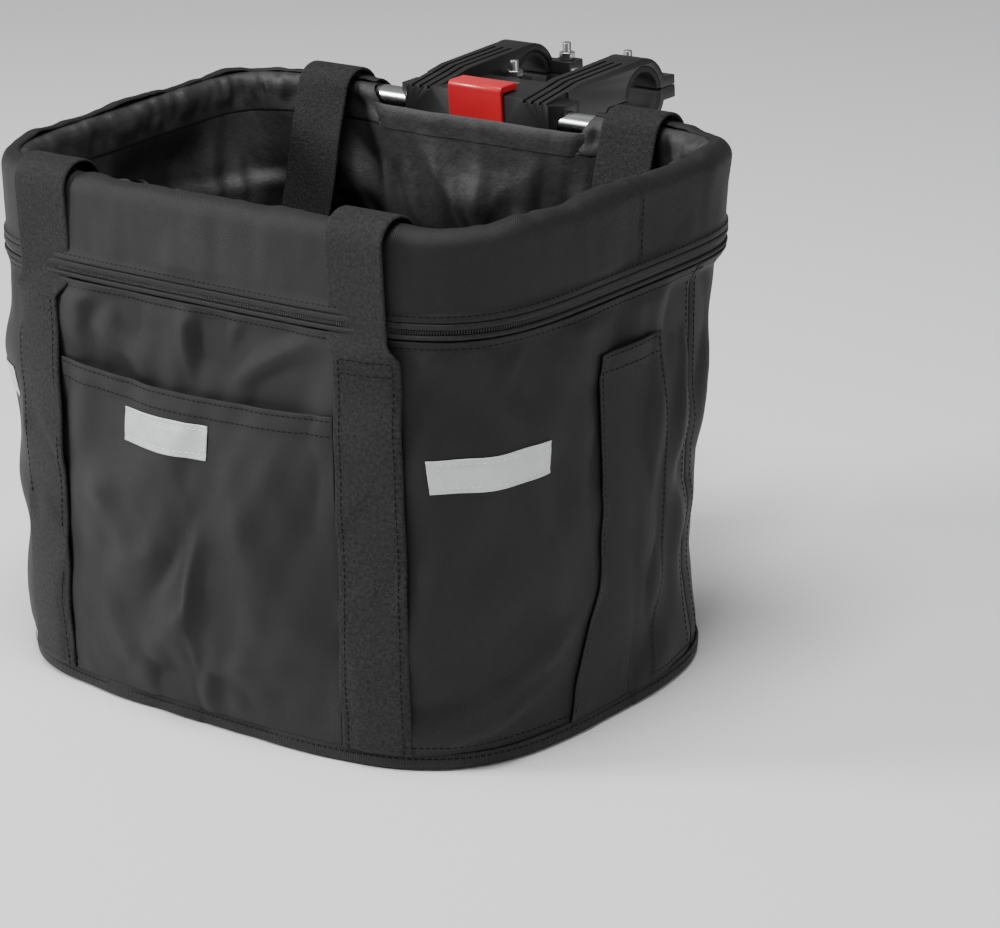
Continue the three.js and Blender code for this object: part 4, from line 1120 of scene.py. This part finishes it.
def handle_outline():
    """Half of a handle's middle line: x, distance from the hoop and angle, from the hoop to X = 0."""
    low = HANDLE_DROP - HANDLE_BEND
    line = [(LEG_X, drop, 0.0) for drop in np.linspace(0.003, low, 34)]
    line += [(LEG_X - HANDLE_BEND * (1 - math.cos(a)), low + HANDLE_BEND * math.sin(a), a)
             for a in np.linspace(0, math.pi / 2, 22)[1:]]
    line += [(x, HANDLE_DROP, math.pi / 2) for x in np.linspace(LEG_X - HANDLE_BEND, 0, 18)[1:]]
    return np.array(line)


def handle_grid(front):
    """One webbing ribbon: up the outside, over the rim, round the handle and back: (rows, across, 3)."""
    swing = FRONT_SWING_Y if front else REAR_SWING_Y
    inward = 1 if front else -1
    lean = 0 if front else REAR_LEAN
    width = ACROSS[None] * inward
    up, _ = outside_run(1, front)

    arc = np.linspace(0, math.pi - lean, 26)[1:]
    x = LEG_X + width + 0 * arc[:, None]
    bend = np.stack([x, swing - inward * HANDLE_R * np.cos(arc)[:, None] + 0 * x,
                     HOOP_Z + HANDLE_R * np.sin(arc)[:, None] + 0 * x], -1)

    line = handle_outline()
    angle = line[:, 2]
    x = line[:, :1] + np.cos(angle)[:, None] * width
    drop = line[:, 1:2] + np.sin(angle)[:, None] * width
    curl = np.sin(2 * angle)[:, None] * np.clip(-width / 0.0175, 0, 1) ** 2
    wobble = 0.0022 * curl * np.sin(angle * 14)[:, None]
    wobble = wobble + 0.0006 * np.sin(drop * 90) * smooth(0, 0.03, drop)
    depth = HANDLE_R + wobble
    y = swing + inward * (depth * math.cos(lean) + drop * math.sin(lean))
    z = HOOP_Z + depth * math.sin(lean) - drop * math.cos(lean)
    one = np.concatenate([up, bend, np.stack([x, y, z], -1)])
    return np.concatenate([one, mirror(one)])


def mirror(one):
    """The other half of a ribbon: the same points on the other side of X = 0, in reverse order."""
    other = one[::-1][1:].copy()
    other[..., 0] *= -1
    return other


def make_handle(name, front):
    grid = handle_grid(front)
    run = length_along(grid[:, len(ACROSS) // 2])
    replaced = [f"{name}_handle"] + [f"{name}_{part}" for part in (
        "left_strap", "right_strap", "left_bend", "right_bend")]
    piece = skin(f"{name}_handle_webbing", grid, WEBBING, STRAP, "webbing", body=None,
                 cloth=lay_of(ACROSS, run[:, None]), replaced=replaced)
    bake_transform(piece)
    for sign in (1, -1):
        strap, z = outside_run(sign, front)
        facing = grid_normals(strap, False)
        on_top = strap + facing * STRAP_THREAD
        sewn = z <= SEWN_TOP
        for column in SEWN_COLUMNS:
            sew("dark", on_top[sewn, column], facing[sewn, column])
        for row in SEWN_ROWS:
            sew("dark", on_top[row, 4:19], facing[row, 4:19])


def make_handles():
    """Each ribbon passes from the basket to its handle over the hoop. The rear one passes
    on a slant, so that the strap below, which lies further in there, stays with the basket."""
    make_handle("front", True)
    make_handle("rear", False)


# ---- hoop ---------------------------------------------------------------------------------------
def make_hoop():
    count, sides = 420, 28
    s = np.arange(count) * PERIMETER / count
    turn = np.arange(sides) * 2 * math.pi / sides
    ring = wall(s[None], HOOP_Z + HOOP_R * np.sin(turn)[:, None],
                -SLEEVE_R + HOOP_R * np.cos(turn)[:, None])
    flat = ring.reshape(-1, 3)
    index = np.arange(sides * count).reshape(sides, count)
    over, on = np.roll(index, -1, 0), np.roll(index, -1, 1)
    both = np.roll(over, -1, 1)
    faces = np.stack([index, on, both, over], -1).reshape(-1, 4)
    finish_mesh("hoop_tube", flat, faces, ALUMINIUM, "basket", "hoop", ["rim_hoop"])


# ---- CAD pieces that stay, with softened edges and their materials ------------------------------
def dress(node, material, bevel=0.0005, segments=2, sharp=32):
    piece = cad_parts[node]
    piece.data.materials.clear()
    piece.data.materials.append(material)
    piece.data.polygons.foreach_set("use_smooth", [True] * len(piece.data.polygons))
    weld = piece.modifiers.new("weld", "WELD")
    weld.merge_threshold = 0.00001
    if bevel:
        flat = piece.modifiers.new("flat", "DECIMATE")
        flat.decimate_type = "DISSOLVE"
        flat.angle_limit = math.radians(0.5)
        edge = piece.modifiers.new("bevel", "BEVEL")
        edge.width = bevel
        edge.segments = segments
        edge.limit_method = "ANGLE"
        edge.angle_limit = math.radians(sharp)
        edge.harden_normals = True
    else:
        piece.data.set_sharp_from_angle(angle=math.radians(sharp))


DRESSED = [
    (("carrier_housing", "bracket_body"), HOUSING, 0.0006),
    (("carrier_keeper", "left_clamp_jaw", "right_clamp_jaw"), HOUSING, 0.0005),
    (("latch_slide", "hoop_joiner"), STEEL, 0.0003),
    (("base_board",), BOARD, 0.0004),
    (("cord_lock_body",), SMOOTH_PLASTIC, 0.0004),
    (("cord_lock_plunger",), SMOOTH_PLASTIC, 0.0003),
    (("zip_slider",), BLACK_METAL, 0.0004),
    (("zip_puller",), BLACK_METAL, 0.0002),
]


def dress_cad():
    for nodes, material, bevel in DRESSED:
        for node in nodes:
            dress(node, material, bevel)
    dress("release_button", RED_PLASTIC, 0.0007, 3)
    for side in ("left", "right"):
        for place in ("upper", "lower"):
            dress(f"{side}_{place}_shim", RUBBER, 0.0003)
        for place in ("front", "rear"):
            dress(f"{side}_{place}_clamp_screw", STEEL, 0.0003)
            dress(f"{side}_{place}_clamp_nut", STEEL, 0.0004)
        dress(f"keeper_screw_{side}", STEEL, 0.0002)
        dress(f"hoop_screw_{side}", STEEL, 0.0002)
        dress(f"button_spring_{side}", STEEL, 0)


# ---- floor and light ----------------------------------------------------------------------------
def make_stage():
    bpy.ops.mesh.primitive_plane_add(size=14, location=(0, 0, -0.0006))
    floor = bpy.context.active_object
    floor.name = "studio_floor"
    material, _, _ = shader("studio_floor", (0.86, 0.86, 0.86), 0.9)
    floor.data.materials.append(material)
    world = bpy.data.worlds.new("studio")
    bpy.context.scene.world = world
    world.use_nodes = True
    background = world.node_tree.nodes["Background"]
    background.inputs[0].default_value = (1, 1, 1, 1)
    background.inputs[1].default_value = SKY
    for name, place, size, power in LIGHTS:
        data = bpy.data.lights.new(name, "AREA")
        data.size = size
        data.energy = power
        light = bpy.data.objects.new(name, data)
        bpy.context.scene.collection.objects.link(light)
        light.location = place
        aim = Vector(LIT_POINT) - Vector(place)
        light.rotation_euler = aim.to_track_quat("-Z", "Y").to_euler()


make_panels()
make_base()
make_lining()
make_sleeve()
make_zip()
make_pockets()
make_patches()
make_handles()
make_hoop()
dress_cad()
stitch_mesh("dark_stitches", STITCHES["dark"], THREAD, "basket", "webbing")
stitch_mesh("patch_stitches", STITCHES["pale"], PALE_THREAD, "basket", "reflective")
make_stage()
